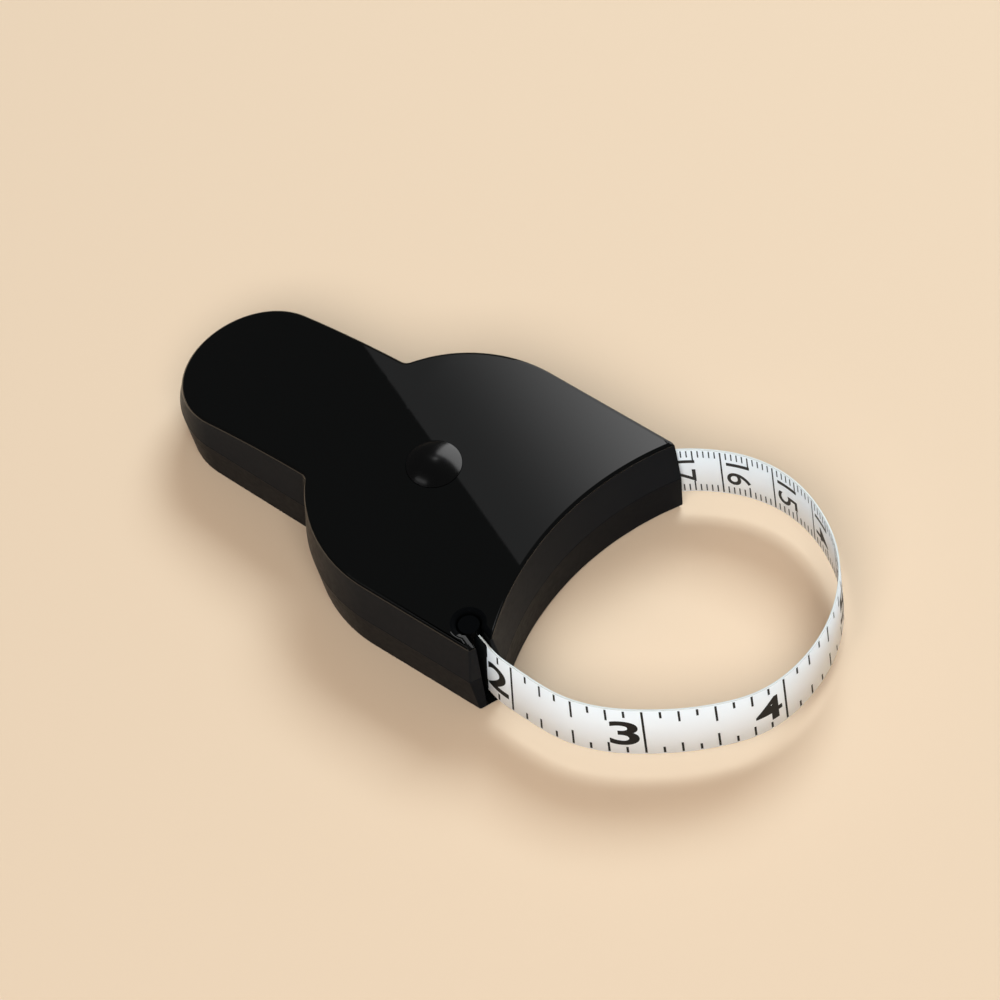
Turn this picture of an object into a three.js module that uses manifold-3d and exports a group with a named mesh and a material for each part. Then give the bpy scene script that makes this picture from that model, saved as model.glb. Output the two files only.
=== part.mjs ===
// Retractable body tape measure: a waisted two-part case with a saddle front, a spring-driven spool
// with a push-button brake, and a tape that loops out of one horn and pins into the other.
// Millimetres, +Z up. The origin is on the base plane, under the button, on the spool's axis.
// "Far" is the +Y horn, where the tape comes out, and "near" is the -Y horn, where it is pinned.
import * as THREE from "three";
import { mergeVertices } from "three/addons/utils/BufferGeometryUtils.js";
import Module from "manifold-3d";

const wasm = await Module();
wasm.setup();

const radians = THREE.MathUtils.degToRad;
const point = (x, y) => new THREE.Vector2(x, y);
const fromAngle = (angle) => point(Math.cos(angle), Math.sin(angle));

// Case outline, at the parting line
const HANDLE_END_X = -40.8; // centre of the handle's round end
const HANDLE_RADIUS = 14.95;
const HANDLE_TAPER = radians(1); // the handle widens a little towards the body
const NECK_FILLET = 2;
const BODY_X = 5.2; // centre of the round body
const BODY_RADIUS = 28;
const SADDLE_X = 26.4; // deepest point of the concave front
const SADDLE_RADIUS = 53.1;
const NEAR_TIP_WIDTH = 6.75; // the near horn's blunt end
const NEAR_TIP_ANGLE = radians(22); // how far that end faces outwards
const FAR_TIP_WIDTH = 4.1;
const FAR_TIP_ANGLE = radians(70);
const TIP_ROUND = 0.5; // radius of the horns' upright edges
const ARC_STEP = radians(5);
const SIDE_STEPS = 5; // along the handle's straight side

// Case walls
const WALL = 1.8;
const FLOOR = 1.8;
const ROOF = 1.75;
const PARTING_Z = 10;
const PARTING_GAP = 0.3;
const TOP_BEND_X = -11; // from here the top bends down to the handle's end
const TOP_BEND_RADIUS = 156;
const DRAFT = 0.85; // each half narrows by this much away from the parting line
const TOP_EDGE = 0.7; // radius of the top face's edge
const BASE_EDGE = 0.8; // radius of the base's edge
const TIP_EDGE = 1.6; // the horns' upright ends turn into these edges this much sooner
const LIP_THICKNESS = 0.7; // the tongue that lines the two halves up
const LIP_HEIGHT = 1;
const NEAR_BLOCK = 12.2; // the near horn is solid round the pin's pocket
const FAR_BLOCK = 6; // and the far horn round the tape's slit

// Fits
const CLEAR = 0.3; // between neighbours
const LOOSE = 0.6; // beside the moving tape and springs

// Tape
const TAPE_WIDTH = 13;
const TAPE_THICKNESS = 0.4;
const TAPE_STORED = 1290; // length left on the spool
const TAPE_PACKING = 1.1; // wound layers stand a little apart

// Spool and mainspring
const BEARING_RIB = 0.3;
const BEARING_RADIUS = 8;
const WEB = 1.3;
const DRUM_WALL = 1;
const DRUM_DROP = 1.8; // the drum ends this far below the tape's top edge
const FLANGE_REACH = 0.9; // the flange outside the winding
const COVER_THICKNESS = 1;
const SPIGOT = 0.8;
const MAINSPRING_THICKNESS = 0.25;
const MAINSPRING_TURNS = 9;
const MAINSPRING_PITCH = 0.82;
const HOOK = 0.8; // bent ends that anchor the mainspring
const HOOK_SLOT = 1;

// Post, brake and button
const POST_RADIUS = 3.4;
const POST_FOOT = 0.8; // the spool's bearing stands out from the post by this much
const POST_BORE = 1.9;
const KEY_SIDE = 4.6; // square top of the post, which keeps the brake from turning
const BRAKE_THICKNESS = 1.2;
const BUTTON_RADIUS = 4.95;
const BUTTON_TRAVEL = 1.6;
const BUTTON_PROUD = 0.2; // straight side above the top face
const BUTTON_DOME = 1.9;
const BUTTON_WALL = 1.05;
const BUTTON_FLANGE = 1.15;
const BUTTON_FLANGE_THICKNESS = 0.9;
const SLEEVE_WALL = 1.25;
const STOP_RING_RADIUS = 8.2; // ring under the roof that keeps the spool down
const STOP_RING_WALL = 1.2;
const PEG_RADIUS = 0.8;
const SPRING_RADIUS = 1.35;
const SPRING_WIRE = 0.4;
const SPRING_TURNS = 12;

// Pin and its slot in the near horn
const PIN_RADIUS = 1.9;
const PIN_CLEAR = 0.35;
const PIN_SLIT = 1;
const PIN_SUNK = 0.6; // below the top face
const SLOT_WIDTH = 2.9;
const SLOT_OFFSET = 3.7; // from the horn's outer corner to the slot's middle
const SLOT_DEPTH = 5; // from the horn's end to the pin's axis
const SLOT_FLOOR = 2.2;
const END_LENGTH = 6.8; // tape between the pin's axis and its free loop
const END_ANGLE = radians(-16.3); // the way that it leaves the pin

// Slit in the far horn
const SLIT_ANGLE = radians(48); // the way that the tape leaves
const SLIT_IN = 1.25; // from the horn's inner corner
const SLIT_CLEAR = 0.2;

// Case screws
const SCREW_SHANK = 1.25;
const SCREW_HEAD = 2.4;
const SCREW_HEAD_HEIGHT = 1.5;
const SCREW_LENGTH = 12;
const SCREW_SUNK = 1.2; // head below the base
const BOSS_WALL = 1.4;
const HANDLE_SCREW_IN = 13.2; // from the handle's end
const NEAR_SCREW_ANGLE = radians(-55); // round the spool's axis
const SPOOL_CLEAR = 1.7; // between that screw's boss and the spool
const FAR_SCREW_BACK = 8; // along the tape, from where it turns out

// The tape's free loop, between the near horn's slot and the far horn's slit, in plan
const LOOP_ROUTE = [
  [36, -25],
  [41, -25.2],
  [46, -25],
  [50.4, -24],
  [55.2, -22],
  [60.4, -18.8],
  [65.6, -14.8],
  [70.2, -10.2],
  [73.8, -5.2],
  [75.8, 0.6],
  [76.3, 6.6],
  [75.6, 12.4],
  [73.6, 18.2],
  [70.4, 23.4],
  [66.2, 27.6],
  [61, 30.9],
  [55.6, 33],
  [50.2, 33.8],
  [45.4, 33.4],
  [40.8, 32.1],
  [36.8, 30.2],
];
const LOOP_STEPS = 72;

// Heights, stacked up from the floor
const spoolZ = FLOOR + BEARING_RIB + CLEAR;
const webTop = spoolZ + WEB;
const tapeBottom = webTop + CLEAR + 0.2;
const tapeTop = tapeBottom + TAPE_WIDTH;
const drumTop = tapeTop - DRUM_DROP;
const coverBottom = drumTop + CLEAR;
const coverTop = coverBottom + COVER_THICKNESS;
const brakeTop = coverBottom - CLEAR;
const brakeBottom = brakeTop - BRAKE_THICKNESS;
const mainspringBottom = webTop + LOOSE;
const mainspringTop = brakeBottom - BUTTON_TRAVEL - LOOSE;
const keyTop = brakeTop - 0.2;
const buttonBottom = brakeTop + CLEAR;
const buttonFlangeTop = buttonBottom + BUTTON_FLANGE_THICKNESS;

// Radii, stacked out from the spool's axis
const mainspringInner = POST_RADIUS + CLEAR + MAINSPRING_THICKNESS;
const mainspringOuter = mainspringInner + MAINSPRING_TURNS * MAINSPRING_PITCH;
const drumInner = mainspringOuter + MAINSPRING_THICKNESS + CLEAR;
const drumOuter = drumInner + DRUM_WALL;
const windingInner = drumOuter + CLEAR;
const windingArea = TAPE_STORED * TAPE_THICKNESS * TAPE_PACKING;
const windingOuter = Math.sqrt(windingInner ** 2 + windingArea / Math.PI);
const flangeRadius = windingOuter + FLANGE_REACH;
const sleeveInner = BUTTON_RADIUS + CLEAR;
const sleeveOuter = sleeveInner + SLEEVE_WALL;
const flangeOfButton = BUTTON_RADIUS + BUTTON_FLANGE;
const coverHole = flangeOfButton + CLEAR + 0.2;
const pocketRadius = PIN_RADIUS + PIN_CLEAR;

// The roof clears the winding on the handle's side, where the top has begun to bend down
const topDrop = (x) => {
  const past = Math.max(0, TOP_BEND_X - x);
  return TOP_BEND_RADIUS - Math.sqrt(TOP_BEND_RADIUS ** 2 - past ** 2);
};
const topZ = tapeTop + LOOSE + ROOF + topDrop(-windingOuter);
const topAt = (x) => topZ - topDrop(x);
const SKY = topZ + 20;

// Shape helpers

function arc(centre, radius, from, to) {
  const steps = Math.max(2, Math.ceil(Math.abs(to - from) / ARC_STEP));
  const points = [];
  for (let i = 0; i <= steps; i += 1) {
    const angle = from + ((to - from) * i) / steps;
    points.push(fromAngle(angle).multiplyScalar(radius).add(centre));
  }
  return points;
}

// Where a line first meets a circle
function meet(start, direction, centre, radius) {
  const from = start.clone().sub(centre);
  const b = from.dot(direction);
  const c = from.lengthSq() - radius ** 2;
  return start.clone().addScaledVector(direction, -b - Math.sqrt(b * b - c));
}

// Three points round a corner in place of the corner itself, tighter where its sides are short
function rounded(before, corner, after, radius) {
  const back = before.clone().sub(corner);
  const on = after.clone().sub(corner);
  const room = 0.4 * Math.min(back.length(), on.length());
  back.normalize();
  on.normalize();
  const halfAngle = Math.acos(back.dot(on)) / 2;
  const reach = Math.min(radius / Math.tan(halfAngle), room);
  const bisector = back.clone().add(on).normalize();
  const crown = reach / Math.cos(halfAngle) - reach * Math.tan(halfAngle);
  return [
    corner.clone().addScaledVector(back, reach),
    corner.clone().addScaledVector(bisector, crown),
    corner.clone().addScaledVector(on, reach),
  ];
}

// One side of the case, for y > 0, from the handle's end to the horn's inner corner
// A cut moves the horn's blunt end back along the side.
function caseSide(tipWidth, tipAngle, cut = 0) {
  const handle = point(HANDLE_END_X, 0);
  const body = point(BODY_X, 0);
  const saddle = point(SADDLE_X + SADDLE_RADIUS, 0);
  const sideNormal = fromAngle(Math.PI / 2 + HANDLE_TAPER);
  const sideStart = handle.clone().addScaledVector(sideNormal, HANDLE_RADIUS);
  const along = fromAngle(HANDLE_TAPER);
  // The neck's fillet touches the handle's straight side and the round body.
  const beside = sideStart.clone().addScaledVector(sideNormal, NECK_FILLET);
  const fillet = meet(beside, along, body, BODY_RADIUS + NECK_FILLET);
  const toBody = body.clone().sub(fillet);
  const sideEnd = fillet.clone().addScaledVector(sideNormal, -NECK_FILLET);
  const side = [];
  for (let i = 1; i < SIDE_STEPS; i += 1) {
    side.push(sideStart.clone().lerp(sideEnd, i / SIDE_STEPS));
  }
  const hornStart = point(BODY_X, BODY_RADIUS);
  const ahead = point(1, 0);
  // The blunt end runs in from the side until it meets the saddle.
  const inwards = point(Math.sin(tipAngle), -Math.cos(tipAngle));
  const aside = hornStart.clone().addScaledVector(inwards, tipWidth);
  const shift = aside.distanceTo(meet(aside, ahead, saddle, SADDLE_RADIUS));
  const outer = hornStart.clone().addScaledVector(ahead, shift - cut);
  const inner = meet(outer, inwards, saddle, SADDLE_RADIUS);
  return [
    ...arc(handle, HANDLE_RADIUS, Math.PI, Math.PI / 2 + HANDLE_TAPER),
    ...side,
    ...arc(fillet, NECK_FILLET, HANDLE_TAPER - Math.PI / 2, toBody.angle() - 2 * Math.PI),
    ...arc(body, BODY_RADIUS, toBody.angle() - Math.PI, Math.PI / 2).slice(1),
    outer,
    inner,
  ];
}

// The whole outline, counter-clockwise, with the places of the horns' four corners in it
function caseOutline(nearCut = 0, farCut = 0) {
  const far = caseSide(FAR_TIP_WIDTH, FAR_TIP_ANGLE, farCut);
  const mirrored = caseSide(NEAR_TIP_WIDTH, NEAR_TIP_ANGLE, nearCut);
  const near = mirrored.map((p) => point(p.x, -p.y));
  const saddle = point(SADDLE_X + SADDLE_RADIUS, 0);
  const nearAngle = Math.PI + Math.asin(-near.at(-1).y / SADDLE_RADIUS);
  const farAngle = Math.PI - Math.asin(far.at(-1).y / SADDLE_RADIUS);
  const front = arc(saddle, SADDLE_RADIUS, nearAngle, farAngle).slice(1, -1);
  const corners = [...near, ...front, ...far.slice(1).reverse()];
  const tips = [near.at(-2), near.at(-1), far.at(-1), far.at(-2)].map((p) => corners.indexOf(p));
  return { corners, tips };
}

// Moves an outline's edges inwards, or a polyline's to its left
// Edges that start at the places in apart move by another distance.
function offset(points, distance, closed = true, apart = [], apartDistance = distance) {
  const count = points.length;
  const moves = (i) => (apart.includes(i) ? apartDistance : distance);
  const normal = (i) => {
    const step = points[(i + 1) % count].clone().sub(points[i]).normalize();
    return point(-step.y, step.x);
  };
  return points.map((p, i) => {
    const last = (i + count - 1) % count;
    const before = closed || i > 0 ? normal(last) : normal(i);
    const after = closed || i < count - 1 ? normal(i) : before;
    const turn = before.dot(after);
    if (moves(last) === moves(i)) {
      const mitre = before.clone().add(after).divideScalar(1 + turn);
      return p.clone().addScaledVector(mitre, moves(i));
    }
    const sine = 1 - turn ** 2;
    return p
      .clone()
      .addScaledVector(before, (moves(last) - moves(i) * turn) / sine)
      .addScaledVector(after, (moves(i) - moves(last) * turn) / sine);
  });
}

// Triangles over a ring that starts at the handle's end: strips across the bent part, then the flat rest
function capped(ring) {
  const count = ring.length;
  const faces = [];
  let i = 0;
  while (ring[i].x < TOP_BEND_X) {
    faces.push([ring[i], ring[i + 1], ring[count - 1 - i]]);
    if (i > 0) {
      faces.push([ring[i], ring[count - 1 - i], ring[count - i]]);
    }
    i += 1;
  }
  const rest = ring.slice(i, count - i + 1);
  const flat = rest.map((p) => point(p.x, p.y));
  for (const [a, b, c] of THREE.ShapeUtils.triangulateShape(flat, [])) {
    faces.push([rest[a], rest[b], rest[c]]);
  }
  return faces;
}

// A closed skin through rings of equal length, from the lowest ring to the highest
function loft(rings) {
  const count = rings[0].length;
  const faces = [];
  for (let r = 0; r + 1 < rings.length; r += 1) {
    for (let i = 0; i < count; i += 1) {
      const j = (i + 1) % count;
      faces.push([rings[r][i], rings[r][j], rings[r + 1][j]]);
      faces.push([rings[r][i], rings[r + 1][j], rings[r + 1][i]]);
    }
  }
  faces.push(...capped(rings[0]).map(([a, b, c]) => [a, c, b]));
  faces.push(...capped(rings.at(-1)));
  return new THREE.BufferGeometry().setFromPoints(faces.flat());
}

// An outline moved inwards, with its horns rounded, at a height that may change with x
// The horns' blunt ends may move by another distance than the sides.
function ring({ corners, tips }, inset, height, tipInset = inset) {
  const moved = offset(corners, inset, true, [tips[0], tips[2]], tipInset);
  const points = moved.flatMap((p, i) =>
    tips.includes(i) ? rounded(moved[i - 1], p, moved[i + 1], TIP_ROUND) : [p],
  );
  return points.map((p) => new THREE.Vector3(p.x, p.y, height(p.x)));
}

function prism(points, bottom, top, holes = []) {
  const shape = new THREE.Shape(points);
  shape.holes = holes.map((hole) => new THREE.Path(hole));
  const options = { depth: top - bottom, bevelEnabled: false };
  return new THREE.ExtrudeGeometry(shape, options).translate(0, 0, bottom);
}

function revolve(profile, segments = 48) {
  const points = profile.map(([r, z]) => point(r, z));
  return new THREE.LatheGeometry(points, segments).rotateX(Math.PI / 2);
}

function tube(inner, outer, bottom, top, segments = 48) {
  const profile = [
    [inner, bottom],
    [outer, bottom],
    [outer, top],
    [inner, top],
    [inner, bottom],
  ];
  return revolve(profile, segments);
}

function column(centre, radius, bottom, top, segments = 32) {
  const profile = [
    [0, bottom],
    [radius, bottom],
    [radius, top],
    [0, top],
  ];
  return revolve(profile, segments).translate(centre.x, centre.y, 0);
}

function bar(from, to, width, bottom, top) {
  return ribbon([from, to], width, bottom, top);
}

// An upright strip along a plan route
function ribbon(route, thickness, bottom, top) {
  const left = offset(route, thickness / 2, false);
  const right = offset(route, -thickness / 2, false);
  return prism([...right, ...left.reverse()], bottom, top);
}

// A round wire along points that wind about the Z axis
function wire(points, radius, sides = 5) {
  const rings = points.map((p, i) => {
    const before = points[Math.max(i - 1, 0)];
    const after = points[Math.min(i + 1, points.length - 1)];
    const ahead = after.clone().sub(before).normalize();
    const out = new THREE.Vector3(p.x, p.y, 0).normalize();
    const up = ahead.clone().cross(out).normalize();
    return Array.from({ length: sides }, (_, s) => {
      const angle = (2 * Math.PI * s) / sides;
      const place = p.clone().addScaledVector(out, -radius * Math.cos(angle));
      return place.addScaledVector(up, -radius * Math.sin(angle));
    });
  });
  const faces = [];
  for (let r = 0; r + 1 < rings.length; r += 1) {
    for (let s = 0; s < sides; s += 1) {
      const t = (s + 1) % sides;
      faces.push([rings[r][s], rings[r][t], rings[r + 1][t]]);
      faces.push([rings[r][s], rings[r + 1][t], rings[r + 1][s]]);
    }
  }
  for (let s = 1; s + 1 < sides; s += 1) {
    faces.push([rings[0][0], rings[0][s + 1], rings[0][s]]);
    const last = rings.at(-1);
    faces.push([last[0], last[s], last[s + 1]]);
  }
  return new THREE.BufferGeometry().setFromPoints(faces.flat());
}

function solid(geometry) {
  const bare = geometry.clone();
  bare.deleteAttribute("normal");
  bare.deleteAttribute("uv");
  const merged = mergeVertices(bare, 1e-4);
  const vertProperties = new Float32Array(merged.attributes.position.array);
  const triVerts = new Uint32Array(merged.index.array);
  return new wasm.Manifold(new wasm.Mesh({ numProp: 3, vertProperties, triVerts }));
}

const joined = (geometries) => geometries.map(solid).reduce((all, next) => all.add(next));

function geometryOf(body) {
  const data = body.getMesh();
  const geometry = new THREE.BufferGeometry();
  geometry.setAttribute("position", new THREE.BufferAttribute(data.vertProperties, 3));
  geometry.setIndex(new THREE.BufferAttribute(data.triVerts, 1));
  geometry.computeVertexNormals();
  return geometry;
}

// Materials
const plastic = (color, roughness) => new THREE.MeshStandardMaterial({ color, roughness });
const metal = (color, roughness) => new THREE.MeshStandardMaterial({ color, roughness, metalness: 1 });
const BLACK_ABS = plastic(0x121214, 0.3);
const WHITE_NYLON = plastic(0xe4e2da, 0.5);
const TAPE_WHITE = plastic(0xf2f1ee, 0.55);
const SPRING_STEEL = metal(0x8c9096, 0.35);
const ZINC_STEEL = metal(0xb9bcc0, 0.4);

const part = new THREE.Group();
part.name = "body_tape_measure";

function place(name, shape, material) {
  const geometry = shape.isBufferGeometry ? shape : geometryOf(shape);
  const mesh = new THREE.Mesh(geometry, material);
  mesh.name = name;
  part.add(mesh);
}

// Case outlines
const outline = caseOutline();
const cavityOutline = caseOutline(NEAR_BLOCK, FAR_BLOCK);
const level = (z) => () => z;
const EDGE_ANGLES = [0, 30, 60, 90].map(radians);

// Near horn: the slot runs square to the horn's blunt end, and the pin sits at its bottom
const nearCorner = caseSide(NEAR_TIP_WIDTH, NEAR_TIP_ANGLE).at(-2);
const slotOut = fromAngle(-NEAR_TIP_ANGLE);
const slotIn = point(-slotOut.y, slotOut.x);
const pinPlace = point(nearCorner.x, -nearCorner.y)
  .addScaledVector(slotIn, SLOT_OFFSET)
  .addScaledVector(slotOut, -SLOT_DEPTH);
const slotMouth = pinPlace.clone().addScaledVector(slotOut, SLOT_DEPTH * 2);
const loopStart = pinPlace.clone().addScaledVector(fromAngle(END_ANGLE), END_LENGTH);

// Far horn: the tape runs straight off the winding, then turns out through a slit in the horn's end
const [farOuter, farInner] = caseSide(FAR_TIP_WIDTH, FAR_TIP_ANGLE).slice(-2);
const slitMiddle = farInner.clone().lerp(farOuter, SLIT_IN / FAR_TIP_WIDTH);
const slitOut = fromAngle(SLIT_ANGLE);
const TURN_LENGTH = 4; // where the tape starts to turn, back from the slit
const TURN_ANGLE = radians(32);
const TURN_PULL = 1.6;
const turn = slitMiddle.clone().addScaledVector(fromAngle(TURN_ANGLE), -TURN_LENGTH);
const turnPull = slitMiddle.clone().addScaledVector(slitOut, -TURN_PULL);
const exit = slitMiddle.clone().addScaledVector(slitOut, CLEAR);
const runRadius = windingOuter + CLEAR + TAPE_THICKNESS / 2;
const runAngle = turn.angle() - Math.asin(runRadius / turn.length());
const runStart = fromAngle(runAngle + Math.PI / 2).multiplyScalar(runRadius);
const bend = new THREE.QuadraticBezierCurve(turn, turnPull, exit).getPoints(6);
const slitStart = turn.clone().addScaledVector(fromAngle(runAngle), -TURN_LENGTH);
const slitEnd = exit.clone().addScaledVector(slitOut, DRAFT + WALL);
const slitRoute = [slitStart, ...bend, slitEnd];
const slitWidth = TAPE_THICKNESS + 2 * SLIT_CLEAR;
const slitCut = ribbon(slitRoute, slitWidth, tapeBottom - CLEAR, tapeTop + CLEAR);

const slotCut = joined([
  bar(pinPlace, slotMouth, SLOT_WIDTH, SLOT_FLOOR, SKY),
  column(pinPlace, pocketRadius, SLOT_FLOOR, SKY),
]);

// Screws: one in the handle, one between the spool and the near horn, one beside the tape's run
const headBottom = SCREW_SUNK;
const headTop = headBottom + SCREW_HEAD_HEIGHT;
const screwTip = headTop + SCREW_LENGTH;
const shankHole = SCREW_SHANK + CLEAR;
const headHole = SCREW_HEAD + CLEAR + 0.1;
const bossRadius = headHole + BOSS_WALL;
const besideTape = fromAngle(runAngle - Math.PI / 2);
const screwPlaces = {
  handle: point(HANDLE_END_X - HANDLE_RADIUS + HANDLE_SCREW_IN, 0),
  near_horn: fromAngle(NEAR_SCREW_ANGLE).multiplyScalar(flangeRadius + SPOOL_CLEAR + bossRadius),
  far_horn: turn
    .clone()
    .addScaledVector(fromAngle(runAngle), -FAR_SCREW_BACK)
    .addScaledVector(besideTape, bossRadius + TAPE_THICKNESS / 2 + LOOSE),
};

// Room for the spool to turn, where the waist of the case comes close to it
const spoolWell = solid(column(point(0, 0), flangeRadius + LOOSE, FLOOR, tapeTop + CLEAR, 48));

function topShell() {
  const edge = EDGE_ANGLES.map((angle) => {
    const turned = TOP_EDGE * (1 - Math.cos(angle));
    const height = (x) => topAt(x) - TOP_EDGE * (1 - Math.sin(angle));
    return ring(outline, DRAFT + turned, height, TIP_EDGE * turned);
  });
  const parting = PARTING_Z + PARTING_GAP / 2;
  const outer = solid(loft([ring(outline, 0, level(parting)), ...edge]));
  const cavity = loft([
    ring(cavityOutline, WALL, level(PARTING_Z - 1)),
    ring(cavityOutline, WALL, level(PARTING_Z)),
    ring(cavityOutline, WALL + DRAFT, (x) => topAt(x) - ROOF),
  ]);
  // Room for the lower half's tongue, wherever it runs
  const band = (inset) =>
    loft([
      ring(cavityOutline, inset, level(PARTING_Z - 1)),
      ring(cavityOutline, inset, level(PARTING_Z + LIP_HEIGHT + CLEAR)),
    ]);
  const rebate = solid(band(WALL - LIP_THICKNESS - CLEAR)).subtract(solid(band(WALL + CLEAR)));
  const stopOuter = STOP_RING_RADIUS + STOP_RING_WALL;
  const inside = joined([
    tube(sleeveInner, sleeveOuter, buttonFlangeTop + CLEAR, SKY),
    tube(STOP_RING_RADIUS, stopOuter, coverTop + CLEAR, SKY),
    ...Object.values(screwPlaces).map((p) => column(p, shankHole + BOSS_WALL, parting, SKY)),
  ]).intersect(outer);
  const holes = joined([
    column(point(0, 0), sleeveInner, PARTING_Z, SKY, 48),
    ...Object.values(screwPlaces).map((p) => column(p, shankHole, 0, screwTip + LOOSE, 20)),
    slitCut,
  ]);
  const hollow = outer.subtract(solid(cavity)).subtract(spoolWell).add(inside);
  return hollow.subtract(rebate).subtract(holes).subtract(slotCut);
}

function bottomShell() {
  const edge = EDGE_ANGLES.map((angle) => {
    const turned = BASE_EDGE * (1 - Math.cos(angle));
    const height = level(BASE_EDGE * (1 - Math.sin(angle)));
    return ring(outline, DRAFT + turned, height, TIP_EDGE * turned);
  }).reverse();
  const parting = PARTING_Z - PARTING_GAP / 2;
  const outer = solid(loft([...edge, ring(outline, 0, level(parting))]));
  const lip = loft([
    ring(cavityOutline, WALL - LIP_THICKNESS, level(parting - 1)),
    ring(cavityOutline, WALL - LIP_THICKNESS, level(PARTING_Z + LIP_HEIGHT)),
  ]);
  const cavity = loft([
    ring(cavityOutline, WALL + DRAFT, level(FLOOR)),
    ring(cavityOutline, WALL, level(PARTING_Z)),
    ring(cavityOutline, WALL, level(PARTING_Z + LIP_HEIGHT + 1)),
  ]);
  const bossTop = parting;
  const keyCorner = KEY_SIDE / 2;
  const centre = point(0, 0);
  const inside = joined([
    column(centre, POST_RADIUS + POST_FOOT, FLOOR - 1, webTop + 0.2, 48),
    column(centre, POST_RADIUS, FLOOR - 1, mainspringTop + 0.2, 48),
    bar(point(-keyCorner, 0), point(keyCorner, 0), KEY_SIDE, FLOOR, keyTop),
    tube(BEARING_RADIUS, BEARING_RADIUS + STOP_RING_WALL, FLOOR - 1, FLOOR + BEARING_RIB),
    ...Object.values(screwPlaces).map((p) => column(p, bossRadius, FLOOR - 1, bossTop)),
  ]);
  const hookSlot = bar(
    point(POST_RADIUS - HOOK, 0),
    point(POST_RADIUS + 1, 0),
    HOOK_SLOT,
    mainspringBottom - CLEAR,
    mainspringTop + 0.2,
  );
  const holes = joined([
    column(centre, POST_BORE, mainspringBottom, SKY, 24),
    hookSlot,
    slitCut,
    ...Object.values(screwPlaces).map((p) => column(p, shankHole, 0, SKY, 20)),
    ...Object.values(screwPlaces).map((p) => column(p, headHole, -1, headTop + CLEAR)),
  ]);
  const hollow = outer.add(solid(lip)).subtract(solid(cavity)).subtract(spoolWell);
  return hollow.add(inside).subtract(holes).subtract(slotCut);
}

// Snap-in cup with the spring barrel inside and the tape outside
function spool() {
  const profile = [
    [POST_RADIUS + POST_FOOT + CLEAR, spoolZ],
    [flangeRadius, spoolZ],
    [flangeRadius, webTop],
    [drumOuter, webTop],
    [drumOuter, drumTop],
    [drumInner, drumTop],
    [drumInner, webTop],
    [POST_RADIUS + POST_FOOT + CLEAR, webTop],
    [POST_RADIUS + POST_FOOT + CLEAR, spoolZ],
  ];
  const hookSlot = bar(
    point(drumInner - 1, 0),
    point(drumInner + HOOK, 0),
    HOOK_SLOT,
    mainspringBottom - CLEAR,
    drumTop + 1,
  );
  return solid(revolve(profile)).subtract(solid(hookSlot));
}

function spoolCover() {
  const spigotOuter = drumInner - CLEAR;
  const spigotInner = spigotOuter - SPIGOT;
  const profile = [
    [coverHole, coverBottom],
    [spigotInner, coverBottom],
    [spigotInner, coverBottom - SPIGOT],
    [spigotOuter, coverBottom - SPIGOT],
    [spigotOuter, coverBottom],
    [drumOuter, coverBottom],
    [drumOuter, coverTop],
    [coverHole, coverTop],
    [coverHole, coverBottom],
  ];
  return revolve(profile);
}

// Flat spiral with both ends bent outwards or inwards into their anchor slots
function mainspringRoute() {
  const stepsPerTurn = 28;
  const steps = MAINSPRING_TURNS * stepsPerTurn;
  const route = [point(POST_RADIUS - HOOK + CLEAR, 0)];
  for (let i = 0; i <= steps; i += 1) {
    const radius = mainspringInner + (MAINSPRING_PITCH * i) / stepsPerTurn;
    const angle = (2 * Math.PI * i) / stepsPerTurn;
    route.push(fromAngle(angle).multiplyScalar(radius));
  }
  route.push(point(drumInner + HOOK - CLEAR, 0));
  return route;
}

// Wound tape: one round body whose outline steps down where the outer layer leaves it
function tapeWinding() {
  const steps = 72;
  const outer = [];
  for (let i = 0; i <= steps; i += 1) {
    const angle = runAngle + Math.PI / 2 + (2 * Math.PI * i) / steps;
    const radius = windingOuter - TAPE_THICKNESS + (TAPE_THICKNESS * i) / steps;
    outer.push(fromAngle(angle).multiplyScalar(radius));
  }
  const hole = arc(point(0, 0), windingInner, 0, 2 * Math.PI).slice(0, -1);
  return prism(outer, tapeBottom, tapeTop, [hole]);
}

function loopPoints() {
  const route = [loopStart, ...LOOP_ROUTE.map(([x, y]) => point(x, y))];
  route.push(exit.clone().addScaledVector(slitOut, CLEAR));
  const curve = new THREE.CatmullRomCurve3(route.map((p) => new THREE.Vector3(p.x, p.y, 0)));
  return curve.getSpacedPoints(LOOP_STEPS).map((p) => point(p.x, p.y));
}

// The tape's end, from inside the pin to the slot's mouth
function tapeEndRoute() {
  const ahead = loopStart.clone().sub(pinPlace).normalize();
  return [pinPlace.clone(), loopStart.clone().addScaledVector(ahead, -CLEAR)];
}

function lockPin() {
  const [inner, mouth] = tapeEndRoute();
  const back = inner.clone().addScaledVector(mouth.clone().sub(inner).normalize(), -LOOSE);
  const pin = column(pinPlace, PIN_RADIUS, SLOT_FLOOR + CLEAR, topZ - PIN_SUNK);
  const slit = bar(back, mouth, PIN_SLIT, tapeBottom - CLEAR, tapeTop + CLEAR);
  return solid(pin).subtract(solid(slit));
}

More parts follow.
